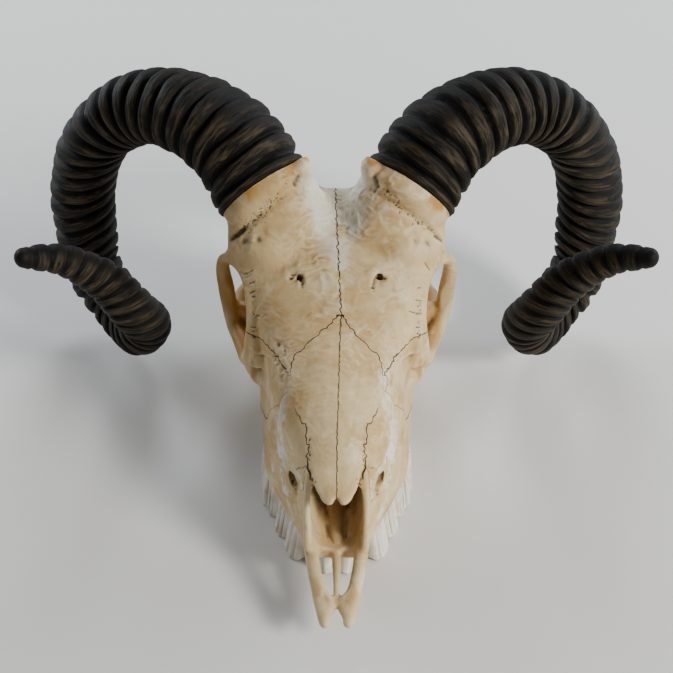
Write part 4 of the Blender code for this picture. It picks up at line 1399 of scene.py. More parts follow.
@dataclass
class Forehead:
    """The forehead: the bony cores of the horns, their feet, and the holes and dents of the brow."""
    horn: Horn
    foot: Point = (37, 42, 116)
    foot_radii: Point = (25, 30, 18)
    knob: Point = (20.8, 50, 153.5)
    knob_radii: Point = (7.2, 7.6, 8.0)
    blend_middle: Point = (38, 46, 120)
    blend_reach: float = 46.0
    blend_full: float = 24.0
    blend_rounds: int = 70
    blend_voxel: float = 1.3

    def left_forms(self) -> list[bpy.types.Object]:
        """Bodies of the left side, which are mirrored."""
        middle, along, _, _ = self.horn.frames(np.array([0.0]))
        way = [tuple(middle[0] + along[0] * far) for far in (-36, -14, 0, 22)]
        return [ball("horn_foot", self.foot, self.foot_radii), bar("horn_core", way, [27, 27.5, 27, 26]),
                ball("collar_knob", self.knob, self.knob_radii)]

    def blend(self, thing: bpy.types.Object, voxel: float) -> None:
        """Lets the forehead flow into the feet of the horns by smoothing most near their middles."""
        far = np.linalg.norm(on_left(read_points(thing)) - self.blend_middle, axis=1)
        weights = np.clip((self.blend_reach - far) / (self.blend_reach - self.blend_full), 0, 1)
        soften(thing, round(self.blend_rounds * (self.blend_voxel / voxel) ** 2), weights)

    def left_hollows(self) -> list[bpy.types.Object]:
        """The slot behind the left brow."""
        return [
            bar("rear_slot", [(51, 26.5, 131), (55.5, 28.5, 124.5), (60.5, 32.5, 117.5)], [1.1, 2.0, 1.4]),
        ]

    def hollows(self) -> list[bpy.types.Object]:
        """The comma-shaped holes of the brow, which differ a little."""
        return [
            bar("brow_hole", [(23.2, 3, 117), (23.4, 6.5, 111), (22.6, 11, 104)], [1.7, 1.6, 1.2]),
            bar("brow_hole", [(-19.6, 3, 117), (-19.8, 5.5, 111.5), (-21.5, 9, 104)], [1.6, 1.6, 1.2]),
            bar("brow_groove", [(-19.4, 4.5, 113), (-18.4, 2.2, 112.2), (-18.2, -0.6, 111.3)],
                [1.3, 1.1, 0.7]),
        ]


class Seam(NamedTuple):
    """How a suture wanders: how far, over what length, how jagged and how much finer its jags are."""
    sway: float
    length: float
    jag: float
    finer: float


@dataclass
class Sutures:
    """The wavy sutures that part the skull's bone into its pieces."""
    face: Face
    gap: float = 0.34
    step: float = 0.6
    seam: Seam = Seam(0.8, 5.4, 0.85, 3.6)
    seed: int = 11
    middle_way: Knots = ((-115, 0), (-85, 0.2), (-60, 1.1), (-40, 1.5), (-18, 2.4), (-5, 1.8), (20, 0.6),
                         (59, -0.8))
    middle_sway: Knots = ((-60, 0.35), (-22, 0.5), (-16, 0.85), (59, 0.85))
    middle_wave: float = 1.15
    overlap: float = 6.0
    nasal_outline: Knots = ((-4, 10), (0, 0), (22.6, 24.5), (26, 36), (22, 52), (16.5, 64), (15, 76),
                            (14.8, 86), (13.4, 91), (12.4, 97), (12.4, 116), (-5, 116))
    openness: Knots = ((0, 0.8), (30, 0.8), (36, 0.2), (50, 0.2), (56, 0.7), (76, 0.9), (82, 1.3), (87, 3),
                       (92, 3))
    nasal_depth: float = 6.5
    nasal_clear: float = 14.0
    middle_blend: float = 12.0
    cheek_outline: Knots = ((-8, 84.5), (-20, 87), (-34, 89.4), (-47, 88.6), (-56, 84), (-57, 76), (-48, 62),
                            (-40, 47), (-20, 37), (0, 41), (30, 44), (52, 46), (52, 66), (47, 82), (10, 82))
    cheek_inner: float = 25.5
    outer_reach: float = 90.0
    room: tuple[float, float, float, float] = (-175.0, 135.0, -50.0, 250.0)
    frontal_outline: Knots = ((-42.4, 80), (56, 80), (72, 96), (80, 125), (80, 200), (-62, 200), (-62, 105))
    maxilla_outline: Knots = ((-120.3, 0), (20.2, 0), (-62, 105), (-76.9, 105))
    premaxilla_outline: Knots = ((-120.3, 0), (-76.9, 105), (-170, 105), (-170, 0))
    ahead_outline: Knots = ((20.2, 0), (-62, 105), (-170, 105), (-170, 0))

    def __post_init__(self) -> None:
        """Draws the seeded values that make the sutures wander."""
        self.grain = Grain(self.seed)

    def wander(self, points: np.ndarray) -> np.ndarray:
        """Shifts flat points a little, the same way wherever the same point comes up again."""
        spots = np.column_stack([points, np.zeros(len(points))])
        seam = self.seam
        shift = [self.grain.at(spots + offset, seam.length) * seam.sway
                 + self.grain.at(spots + offset + 9, seam.length / seam.finer) * seam.jag
                 for offset in (0.0, 31.7)]
        return points + np.column_stack(shift)

    def wavy(self, outline: Knots) -> np.ndarray:
        """Turns a straight-edged outline into a wavy one with many points."""
        corners = np.asarray(outline, float)
        rows = []
        for here, there in zip(corners, np.roll(corners, -1, axis=0)):
            count = max(1, round(float(np.linalg.norm(there - here)) / self.step))
            rows.append(here + (there - here) * (np.arange(count) / count)[:, None])
        return self.wander(np.concatenate(rows))

    def side_region(self, outline: Knots, inner: float, by: float, side: Side) -> bpy.types.Object:
        """The space beside the skull's middle within an outline seen from the side.

        Args:
            outline: Points (y, z).
            inner: Where the space starts beside the middle.
            by: How far it is spread, or shrunk where negative.
            side: The side that it lies on.

        Returns:
            The space as a body.
        """
        edge = spread(self.wavy(outline), by)
        return prism("side_region", edge, inner - by, self.outer_reach,
                     lambda y, z, x: (side.value * x, y, z))

    def nasal_region(self, share: float, side: Side) -> bpy.types.Object:
        """The space of one nasal bone, which reaches over the middle.

        Args:
            share: How far it is spread in half gaps, or shrunk where negative.
            side: The side that it lies on.

        Returns:
            The space as a body.
        """
        wavy = self.wavy(self.nasal_outline)
        along = wavy[:, 1]
        y = self.face.start.y + self.face.line.y * along
        aside = read_table(self.middle_way, y) * np.clip(1 - np.abs(wavy[:, 0]) / self.middle_blend, 0, 1)
        wavy[:, 0] = wavy[:, 0] * side.value + aside
        by = share * self.gap / 2 * read_table(self.openness, along)
        return prism("nasal_region", spread(wavy, by), -self.nasal_depth, self.nasal_clear,
                     self.face.nasal_place)

    def middle_line(self, y: np.ndarray) -> np.ndarray:
        """How far the middle suture lies beside the skull's middle at places along it."""
        wave = self.grain.at(np.column_stack([y, np.zeros(len(y)), np.full(len(y), 5.0)]), self.middle_wave)
        return read_table(self.middle_way, y) + read_table(self.middle_sway, y) * wave

    def half_room(self, side: Side) -> bpy.types.Object:
        """The space on one side of the suture along the skull's middle."""
        front, back, low, high = self.room
        y = np.arange(front, back, self.step / 2)
        edge = self.middle_line(y) + side.value * self.gap / 2
        far = side.value * self.outer_reach
        outline = [*zip(edge, y), (far, y[-1]), (far, y[0])]
        return prism("half_room", outline, low, high, lambda x, y, z: (x, y, z))

    def cheek_region(self, by: float, side: Side) -> bpy.types.Object:
        """The space of one cheek bone."""
        return self.side_region(self.cheek_outline, self.cheek_inner, by, side)

    def nasal_regions(self) -> list[bpy.types.Object]:
        """The spaces of both nasal bones with their sutures."""
        return [self.nasal_region(1, side) for side in Side]

    def piece(self, name: str, bone: bpy.types.Object, within: list[bpy.types.Object],
              away: list[bpy.types.Object]) -> bpy.types.Object:
        """Takes the part of the bone inside some spaces and outside others."""
        result = duplicate(bone, name)
        combine(result, within, Cut.WITHIN)
        combine(result, away, Cut.AWAY)
        remove_all(within + away)
        keep_largest(result)
        self.darken(result)
        return result

    def darken(self, piece: bpy.types.Object) -> None:
        """Stores how dark a piece is along its sutures: less where bones have nearly grown together."""
        x, y, z = on_left(read_points(piece)).T
        grown = soft_step(11, 14, x) * soft_step(-44, -50, y) * soft_step(-70, -62, y)
        side = soft_step(-84, -96, y) * soft_step(9, 12, x) * 0.5
        arch = soft_step(50, 54, x) * 0.85
        nose = soft_step(14, 12, x) * soft_step(60, 50, z) * soft_step(-40, -60, y) * 0.7
        bridge = soft_step(2, 1, x) * soft_step(-18, -24, y) * 0.3
        strength = (1 - 0.8 * grown) * (1 - side) * (1 - arch) * (1 - nose) * (1 - bridge)
        write_values(piece, "seam", (1 - read_values(piece, "kept")) * strength)

    def part(self, bone: bpy.types.Object) -> list[tuple[bpy.types.Object, list[str]]]:
        """Parts the bone.

        Args:
            bone: The whole bone, which is taken out at the end.

        Returns:
            Each piece with the names of the solids that it stands for.
        """
        shut, wide = -self.gap / 2, self.gap / 2
        pieces = []
        for side in Side:
            found = {
                "nasal": self.piece("nasal", bone, [self.nasal_region(-1, side), self.half_room(side)], []),
                "cheek": self.piece("cheek", bone, [self.cheek_region(shut, side)], [])}
            for name, outline in (("maxilla", self.maxilla_outline), ("frontal", self.frontal_outline)):
                within = [self.side_region(outline, -self.overlap, shut, side), self.half_room(side)]
                found[name] = self.piece(name, bone, within,
                                         [*self.nasal_regions(), self.cheek_region(wide, side)])
            pieces += [(thing, [f"{name}_{side.label}"]) for name, thing in found.items()]
        snout = self.side_region(self.premaxilla_outline, -self.outer_reach, shut, Side.LEFT)
        pieces.append((self.piece("premaxillae", bone, [snout], self.nasal_regions()),
                       ["premaxilla_left", "premaxilla_right"]))
        away = [self.side_region(self.ahead_outline, -self.outer_reach, wide, Side.LEFT),
                *self.nasal_regions()]
        for side in Side:
            away += [self.cheek_region(wide, side),
                     self.side_region(self.frontal_outline, -self.overlap, wide, side)]
        pieces.append((self.piece("braincase", bone, [], away), ["braincase"]))
        bpy.data.objects.remove(bone)
        return pieces


class Mark(NamedTuple):
    """A line on the bone through spots of the picture: how it is raised, darkened by dirt and painted shade,
    whitened as chalky bone and painted rim light, or stained.
    """
    spots: Spots
    width: float
    raised: float
    dirt: float = 0.0
    # whitening: chalky bone, partly painted rim light
    white: float = 0.0
    amber: float = 0.0
    broken: float = 0.0
    paired: bool = False


class Trail(NamedTuple):
    """Small dark pits along spots of the picture: how many, how far beside the line and how large."""
    spots: Spots
    count: int
    scatter: float
    radius: float
    outer: float = 1.0
    paired: bool = False


TEAR_PIT_RIM = Mark(((256, 352.5), (264, 353.5), (272, 358.5), (278, 368), (280.5, 380), (281.5, 389)),
                    0.9, 0.8, white=0.3, paired=True)

# Lines on the bone; where they darken holes, slits and grooves, the darkening is dirt and painted shade.
MARKS = (
    TEAR_PIT_RIM,
    # the pale fibrous ridges on the sides of the face: raised chalky bone, partly painted rim light
    Mark(((291.8, 374.6), (286.4, 401.4), (279.5, 423), (281.5, 450)), 4.0, 0.35, white=1.0, broken=0.35,
         paired=True),
    Mark(((281.5, 450), (285, 488), (290, 504), (294, 518)), 2.4, 0.4, white=0.95, broken=0.55, paired=True),
    Mark(((283, 450), (293, 468), (301, 480), (303, 499)), 2.0, 0.3, white=0.85, broken=0.6, paired=True),
    Mark(((262, 380), (268, 405), (269, 440), (273, 470)), 2.0, 0.3, white=0.7, broken=0.7, paired=True),
    Mark(((296.4, 469.6), (299, 467.6), (302, 468.6), (305, 466.4), (308, 467)), 0.5, -0.4, dirt=0.75,
         broken=0.3, paired=True),
    Mark(((291.4, 474.5), (294.7, 484), (293, 493)), 2.6, -1.3, dirt=0.25, amber=0.35, paired=True),
    Mark(((293.5, 476), (296, 484), (294.8, 491)), 0.9, -0.5, dirt=0.4, paired=True),
    Mark(((294, 499), (298, 513), (304, 528)), 2.2, -0.5, amber=0.25, paired=True),
    Mark(((291.3, 274.2), (294.5, 273.8), (298.5, 275.6), (300.9, 281), (301.4, 287)), 0.8, -0.9, dirt=0.35),
    Mark(((291.5, 278.5), (296, 279.5)), 2.6, -1.1, dirt=0.3, amber=0.25),
    Mark(((286, 270), (296, 267.5), (304, 273)), 2.2, 0.5),
    Mark(((385.5, 278), (381.6, 276), (378.5, 274.6), (374.4, 278.5), (372.5, 286.8)), 0.75, -0.8, dirt=0.35),
    Mark(((382.5, 277.7), (384, 278)), 1.5, -1.0, dirt=0.4),
    Mark(((377, 280), (379.5, 281)), 2.2, -0.9, dirt=0.22, amber=0.25),
    Mark(((369, 273), (378, 268.5), (388, 271)), 2.2, 0.5),
    Mark(((297.3, 176.5), (296, 180), (294.3, 184)), 1.7, -1.6, dirt=0.62),
    Mark(((375.8, 177.4), (377.5, 181), (378, 186)), 1.7, -1.6, dirt=0.62),
    Mark(((243.4, 241.5), (244.6, 242)), 3.0, -1.5, dirt=0.6),
    Mark(((258, 239.5), (258.4, 240.5)), 2.5, -1.2, dirt=0.5),
    Mark(((248, 232), (262, 232)), 3.5, -0.4, dirt=0.12),
    Mark(((428, 242.4), (428.5, 243.2)), 2.4, -1.2, dirt=0.55),
    Mark(((414.6, 239.6), (415, 240.3)), 2.0, -1.0, dirt=0.4),
    Mark(((230.5, 240), (237, 235.5), (243.5, 229.5)), 1.1, -1.2, dirt=0.72, broken=0.3),
    Mark(((435, 236.8), (439, 239), (443.5, 242)), 1.0, -1.0, dirt=0.62, broken=0.3),
    Mark(((278, 344.2), (278.8, 345.4)), 1.4, -0.7, dirt=0.6),
    Mark(((284.6, 347.9), (286.4, 355.9)), 1.2, -0.6, dirt=0.35),
    Mark(((397, 347), (396, 354)), 1.0, -0.4, dirt=0.25),
    Mark(((316.6, 581), (317.2, 594)), 3.0, 0, amber=0.42),
    Mark(((352.8, 583), (352.6, 595)), 2.8, 0, amber=0.38),
    Mark(((326, 597), (328, 600)), 1.9, -0.3, dirt=0.4),
    Mark(((347.8, 597), (346.5, 601)), 2.0, -0.3, dirt=0.4),
    Mark(((363.5, 478), (364.5, 500), (362.5, 535)), 2.2, 0, amber=0.5),
    Mark(((310.5, 545), (312, 560)), 2.2, 0, amber=0.4))

# Small slits, darkened with dirt and painted shade.
TICKS = tuple(Mark(spots, 0.5, -0.6, dirt=0.7) for spots in (
    ((247.3, 273.5), (252.3, 270.2)), ((244, 274.7), (246.2, 273.5)), ((249.8, 283.5), (253.9, 282.2)),
    ((250.3, 293), (254.8, 291)), ((252.3, 296.8), (254.8, 296.4)), ((252.8, 314), (253.8, 314.6)),
    ((257.3, 315.8), (259.3, 315.8)), ((251.5, 327.1), (255.6, 327.1)), ((252.3, 331), (254.8, 331.6)),
    ((253, 336.5), (255, 337.5)), ((425.3, 263.3), (429.7, 269.7)), ((418, 288), (420.6, 287.6)),
    ((416.5, 300.1), (421.4, 300.9)), ((409.8, 311.4), (414.8, 313)), ((416.5, 313.9), (420.6, 313.4)),
    ((416.5, 327.5), (419.8, 327.1)), ((417.3, 334), (420.2, 334.6)), ((418, 337.6), (420, 338))))

TRAILS = (
    Trail(((283, 191), (269, 205), (257.4, 217), (245, 226)), 78, 6.4, 0.4, 0.75),
    Trail(((383, 187), (396.4, 201), (406.3, 214), (418, 222), (434, 233)), 74, 6.0, 0.4),
    Trail(((289.5, 276), (293, 281)), 6, 1.6, 0.45),
    Trail(((372, 287), (374, 292)), 5, 1.3, 0.42),
    Trail(((253, 300), (255, 338)), 14, 3.0, 0.36, paired=True),
    Trail(((292.5, 480), (294, 496)), 9, 1.6, 0.45, paired=True),
    Trail(((281, 450), (283, 486)), 16, 3.2, 0.42, paired=True),
    Trail(((308.5, 436), (309.5, 462)), 9, 0.7, 0.5, paired=True),
    Trail(((300, 486), (302, 500)), 6, 2.0, 0.4, paired=True),
    Trail(((312, 490), (316, 478)), 5, 1.2, 0.5, paired=True))


@dataclass
class Relief:
    """The fine relief of the bone's skin and the stains, painted shade and painted light on it."""
    STORED = ("raised", "dirt", "white", "amber")

    bone: bpy.types.Object
    horn: Horn
    lining: Lining
    view: View = View()
    seed: int = 3
    fold_height: float = 0.42
    skin_height: float = 0.22
    skin_size: float = 9.0
    groove_depth: float = 0.8
    collar_height: float = 2.2
    crease_depth: float = 1.2
    depth_share: float = 0.35
    pit_margin: float = 3.0
    pit_depth: float = 0.35
    fossa_middle: tuple[float, float] = (253.4, 372.0)
    fossa_reach: float = 22.0
    fossa_depth: float = 0.9
    fossa_fade: float = 7.0
    fossa_steps: int = 40

    def __post_init__(self) -> None:
        """Reads the bone's skin, draws the seeded values and finds the rim of the left horn."""
        self.points = read_points(self.bone)
        self.left = on_left(self.points)
        self.tree = BVHTree.FromObject(self.bone, bpy.context.evaluated_depsgraph_get())
        self.values = {name: np.zeros(len(self.points)) for name in self.STORED}
        self.grain = Grain(self.seed)
        middle, along, _, _ = self.horn.frames(np.array([0.0]))
        self.rim_middle, self.rim_along = middle[0], along[0]

    def carve(self) -> None:
        """Moves the skin by its fine relief and stores what the finish reads."""
        points, values = self.points, self.values
        normals = read_normals(self.bone)
        self._add_marks()
        self._add_pits()
        self._add_fossa()
        fold = self._ripples(normals)
        height = fold * self.fold_height + values.pop("raised")
        height += self.grain.layers(points, self.skin_size, 3) * self.skin_height
        height += self._collar() + self._face_grain()
        self._add_stains()
        groove = self._lining_groove() * soft_step(-0.9, 0.3, self.grain.at(points + 3, 5))
        # dirt and painted shade in the grooves beside the strip
        values["dirt"] += groove * 0.5
        write_points(self.bone, points + normals * (height - groove * self.groove_depth)[:, None])
        for name, numbers in values.items():
            write_values(self.bone, name, numbers)
        write_values(self.bone, "fold", fold)

    def _seen(self, points: np.ndarray) -> np.ndarray:
        """Squeezes depth along the view, so that lines that are drawn in the picture reach the skin."""
        back = np.array(self.view.back)
        return points - np.outer(points @ back, back) * (1 - self.depth_share)

    def _on_bone(self, spots: Spots) -> np.ndarray:
        """Finds the places on the bone that spots of the picture show."""
        return np.array([self.view.place(self.tree, spot) for spot in spots])

    def _sides(self, drawn: Mark | Trail) -> list[Spots]:
        """Gives the spots of a mark or trail, and their mirror image where it is paired."""
        return [drawn.spots, self.view.other_side(drawn.spots)] if drawn.paired else [drawn.spots]

    def _add_marks(self) -> None:
        """Adds every marked line."""
        seen = self._seen(self.points)
        ragged = 1 + 0.25 * self.grain.at(self.points + 27, 2.4)
        gaps = soft_step(-0.35, 0.35, self.grain.at(self.points + 51, 3.2))
        for mark in MARKS + TICKS:
            for spots in self._sides(mark):
                distance = line_distance(seen, self._seen(self._on_bone(spots)))
                near = bump_at(distance * ragged, mark.width) * (1 - mark.broken * gaps)
                for name in self.STORED:
                    self.values[name] += getattr(mark, name) * near

    def _add_pits(self) -> None:
        """Adds the small dark pits, drawn anew for each side."""
        draw = np.random.default_rng(self.seed)
        points, values = self.points, self.values
        for trail in TRAILS:
            for spots in self._sides(trail):
                line = np.asarray(spots, float)
                along = lengths_along(line)
                shares = draw.uniform(0, 1, trail.count) ** trail.outer
                places = smooth_values(along, line, along[-1] * shares)
                places += draw.normal(0, 0.5, places.shape) * trail.scatter
                centres = self._on_bone(places)
                box = np.all((points > centres.min(axis=0) - self.pit_margin)
                             & (points < centres.max(axis=0) + self.pit_margin), axis=1)
                near = np.flatnonzero(box)
                for centre, radius in zip(centres, trail.radius * draw.uniform(0.7, 1.4, trail.count)):
                    pit = bump_at(np.linalg.norm(points[near] - centre, axis=1), radius)
                    # dirt and painted shade in each pit
                    values["dirt"][near] = np.maximum(values["dirt"][near], pit)
                    values["raised"][near] -= pit * self.pit_depth

    def _add_fossa(self) -> None:
        """Sinks the bone below the sharp rim of the pit in front of each orbit, and paints a crescent of
        shade just below that rim.
        """
        spots = np.array(self.view.other_side(TEAR_PIT_RIM.spots))
        along = lengths_along(spots)
        spots = smooth_values(along, spots, np.linspace(0, along[-1], self.fossa_steps))
        line = self._seen(self._on_bone(spots))
        middle = self._seen(self._on_bone(self.view.other_side([self.fossa_middle])))[0]
        seen = self._seen(self.left)
        near = np.flatnonzero(np.linalg.norm(seen - middle, axis=1) < self.fossa_reach)
        seen = seen[near]
        nearest = line[np.argmin([np.linalg.norm(seen - corner, axis=1) for corner in line], axis=0)]
        distance = np.linalg.norm(seen - nearest, axis=1)
        toward = middle - nearest
        inside = np.sum((seen - nearest) * toward, axis=1) / np.linalg.norm(toward, axis=1)
        depth = np.exp(-distance / self.fossa_fade) * soft_step(0.2, 1.4, distance)
        depth *= soft_step(-0.6, 0.8, inside)
        depth *= soft_step(20, 13, np.linalg.norm(seen - middle, axis=1))
        self.values["raised"][near] -= depth * self.fossa_depth
        self.values["amber"][near] += depth * 0.2
        # painted shadow: a dark crescent just below the rim
        self.values["dirt"][near] += depth * np.exp(-distance / 2.0) * 0.35

    def _ripples(self, normals: np.ndarray) -> np.ndarray:
        """Fine wrinkles across the forehead and the nasal bones, from -1 to 1."""
        points = self.points
        warp = np.column_stack([self.grain.at(points + 40 * axis, 11) for axis in range(3)]) * 5
        spots = points + warp
        folds = 1 - np.abs(self.grain.at(spots, (7.5, 3.1, 3.1))) * 2.2
        folds += 0.5 - np.abs(self.grain.at(spots + 71, (4.2, 1.9, 1.9)))
        mask = soft_step(0.1, 0.6, normals[:, 2]) * soft_step(60, 85, points[:, 2])
        patch = 0.35 + 0.65 * soft_step(-0.35, 0.4, self.grain.at(points + 13, 24))
        return folds * mask * patch

    def _rim_distance(self) -> np.ndarray:
        """How far each point lies below the leaning rim of its horn, along the horn."""
        lean = self.horn.front_lean[0][1]
        slide = (self.left - self.rim_middle) @ np.array(self.horn.front_up) * lean
        return (self.rim_middle - self.left) @ self.rim_along + slide

    def _collar(self) -> np.ndarray:
        """The smooth bulging collar of bone below a horn's rim and the crease under it."""
        x, y, z = self.left.T
        below = self._rim_distance()
        near = soft_step(125, 132, z) * soft_step(8, 20, x) * soft_step(62, 45, y)
        wander = self.grain.at(self.points, 10) * 1.3
        collar = bump_at(below - 6.5, 5.5) * self.collar_height
        crease = bump_at(below - 15 - wander, 1.8) * self.crease_depth
        return (collar - crease) * near

    def _face_grain(self) -> np.ndarray:
        """Rough, porous bone on the sides of the face above the cheek teeth."""
        x, y, z = self.left.T
        mask = soft_step(16, 26, x) * soft_step(-30, -50, y) * soft_step(22, 34, z) * soft_step(88, 74, z)
        rough = self.grain.at(self.points + 5, (2.2, 5.0, 2.2)) * 0.25
        return (rough + self.grain.at(self.points + 33, 1.5) * 0.15) * mask

    def _in_nose(self) -> np.ndarray:
        """Tells which points lie inside the nose, from 0 to 1."""
        x, y, z = self.left.T
        over_nasal = z - (106 + (y + 19) * (45.5 / 96))
        inside = soft_step(-118, -108, y) * soft_step(13.8, 11, x)
        return inside * soft_step(20, 26, z) * soft_step(-1.5, -5, over_nasal)

    def _lining_groove(self) -> np.ndarray:
        """The dark groove on each side of the strip on the nose's floor."""
        x, y, z = self.left.T
        half, top = self.lining.edge(y)
        beside = bump_at(x - half - 1.0, 1.5) * soft_step(5, 1, z - top)
        return beside * soft_step(-114, -106, y) * self._in_nose()

    def _add_stains(self) -> None:
        """Adds the amber and ochre stains, the painted shade deep in the nose, in the orbits and on the sides
        turned from the key light, the dark marks and the painted cool light on the crown.
        """
        points, values = self.points, self.values
        x, y, z = self.left.T
        blot = self.grain.at(points + 61, 9)
        rim = np.exp(-np.clip(self._rim_distance(), 0, None) / 5.0) * soft_step(110, 122, z)
        rim *= 0.15 + 1.2 * soft_step(-0.1, 0.55, blot)
        # painted shade: ochre darkens the forehead and the nasals on the skull's right, the side turned away
        # from the key light, in cloudy patches
        shade = 0.42 + 0.42 * soft_step(-0.5, 0.5, self.grain.at(points + 87, 19))
        nose = self._in_nose()
        # deep: painted shade further back in the nose
        deep = nose * soft_step(-98, -74, y)
        # bowl, arch and wall: amber and ochre here are partly painted shade, in the orbits' bowls and on the
        # skull's right arch and the nose's inner wall on the skull's left, which are turned away from the key
        # light
        bowl = soft_step(1.15, 0.8, np.linalg.norm((self.left - (52, 18, 80)) / (17, 24, 26), axis=1))
        arch = soft_step(-50, -56, points[:, 0]) * soft_step(110, 100, z) * soft_step(50, 60, z)
        wall = nose * soft_step(4, 10, points[:, 0])
        values["amber"] += rim * 1.1 + bowl * 0.5 + wall * 0.4 + arch * (0.45 + 0.5 * blot)
        # where the painted shade lies: the skull's right side, above the cheeks, from near the nasal tips
        # back
        shade *= soft_step(0, -23, points[:, 0]) * soft_step(64, 84, z) * soft_step(-118, -80, y)
        # corner: painted shade in the upper corners of the nose
        corner = bump_at(x - 9.5, 2.6) * nose * soft_step(-104, -92, y)
        values["dirt"] += deep * 0.1 + corner * 0.45
        # painted cool light: the crown between the horns and a strip along the middle of the brow are paled
        # as if lit from above and behind
        crown = soft_step(24, 8, x - 0.25 * (y - 30)) * soft_step(18, 34, y) * soft_step(100, 118, z)
        strip = bump_at(x, 9) * soft_step(-20, -8, y) * soft_step(100, 108, z)
        values["cool"] = np.clip(crown * 1.2 * soft_step(-0.8, 0.0, blot)
                                 + strip * 0.8 * soft_step(-0.25, 0.35, blot), 0, 1)
        shade *= 1 - 0.8 * values["cool"]
        values["ochre"] = np.clip(nose * 0.2 + deep * 0.15 + bowl * 0.5 + arch * 0.5 + shade, 0, 1)


@dataclass
class Skull:
    """The bones of the skull, from the melted whole to dressed pieces."""
    horn: Horn
    coarse: float = 0.9
    voxel: float = 0.68
    rounds: int = 5
    ground_depth: float = 30.0
    ground_reach: tuple[float, float] = (90.0, 200.0)
    rim_gap: float = 0.3
    hollow_rounds: int = 12
    hollow_depth: float = 0.35

    def whole(self) -> bpy.types.Object:
        """Melts, hollows and smooths the bone, and cuts it clear of the horns and of the ground."""
        face, orbit, rear, forehead = Face(), Orbit(), Rear(), Forehead(self.horn)
        forms = face.middle_forms() + rear.middle_forms()
        for area in (face, orbit, rear, forehead):
            forms += both_sides(area.left_forms())
        bone = joined("bone", forms)
        remesh(bone, self.coarse)
        forehead.blend(bone, self.coarse)
        holes = [face.hollow(), *rear.hollows(), *forehead.hollows()]
        for area in (orbit, rear, forehead):
            holes += both_sides(area.left_hollows())
        combine(bone, holes, Cut.AWAY)
        remove_all(holes)
        bone = joined("bone", [bone, *face.inner_forms()])
        remesh(bone, self.voxel)
        soften(bone, self.rounds)
        keep_largest(bone)
        return bone

    def trim(self, bone: bpy.types.Object) -> None:
        """Cuts the bone off level with the ground and below the horns' rims."""
        across, along = self.ground_reach
        corners = [(-across, -along), (across, -along), (across, along), (-across, along)]
        ground = prism("ground", corners, -self.ground_depth, 0,
                       lambda x, y, z: (x, y, z))
        room = both_sides([self.horn.room(self.rim_gap)])
        combine(bone, [ground, *room], Cut.AWAY)
        remove_all([ground, *room])
        keep_largest(bone)

    def build(self, finish: BoneFinish) -> list[bpy.types.Object]:
        """Builds and dresses every bone.

        Args:
            finish: The finish of the bone.

        Returns:
            The bones, each riding on the frame in place of its solid.
        """
        bone = self.whole()
        lining = Lining()
        Relief(bone, self.horn, lining).carve()
        store_hollows(bone, self.hollow_rounds, self.hollow_depth)
        self.trim(bone)
        keep_in_box(bone)
        write_values(bone, "kept", np.ones(len(bone.data.vertices)))
        material = finish.make()
        bones = [lining.build(material)]
        for piece, nodes in Sutures(Face()).part(bone):
            piece.name = (nodes[0] if len(nodes) == 1 else "premaxillae") + "_bone"
            dress(piece, material)
            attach(piece, "root")
            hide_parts(*nodes)
            bones.append(piece)
            tell(piece)
        return bones


def keep_in_box(thing: bpy.types.Object) -> None:
    """Holds an object's points within the box of the solids."""
    low, high = to_mm(np.array([*CAD_BOX]))
    write_points(thing, np.clip(read_points(thing), low, high))


# Teeth


class Tooth(NamedTuple):
    """A cheek tooth: its size, how its worn end leans out and forward, where it ends and its lobes."""
    name: str
    length: float
    half_width: float
    lean: float
    lobes: int
    top: float = 30.0
    ahead: float = 0.0
    end: float = 0.0


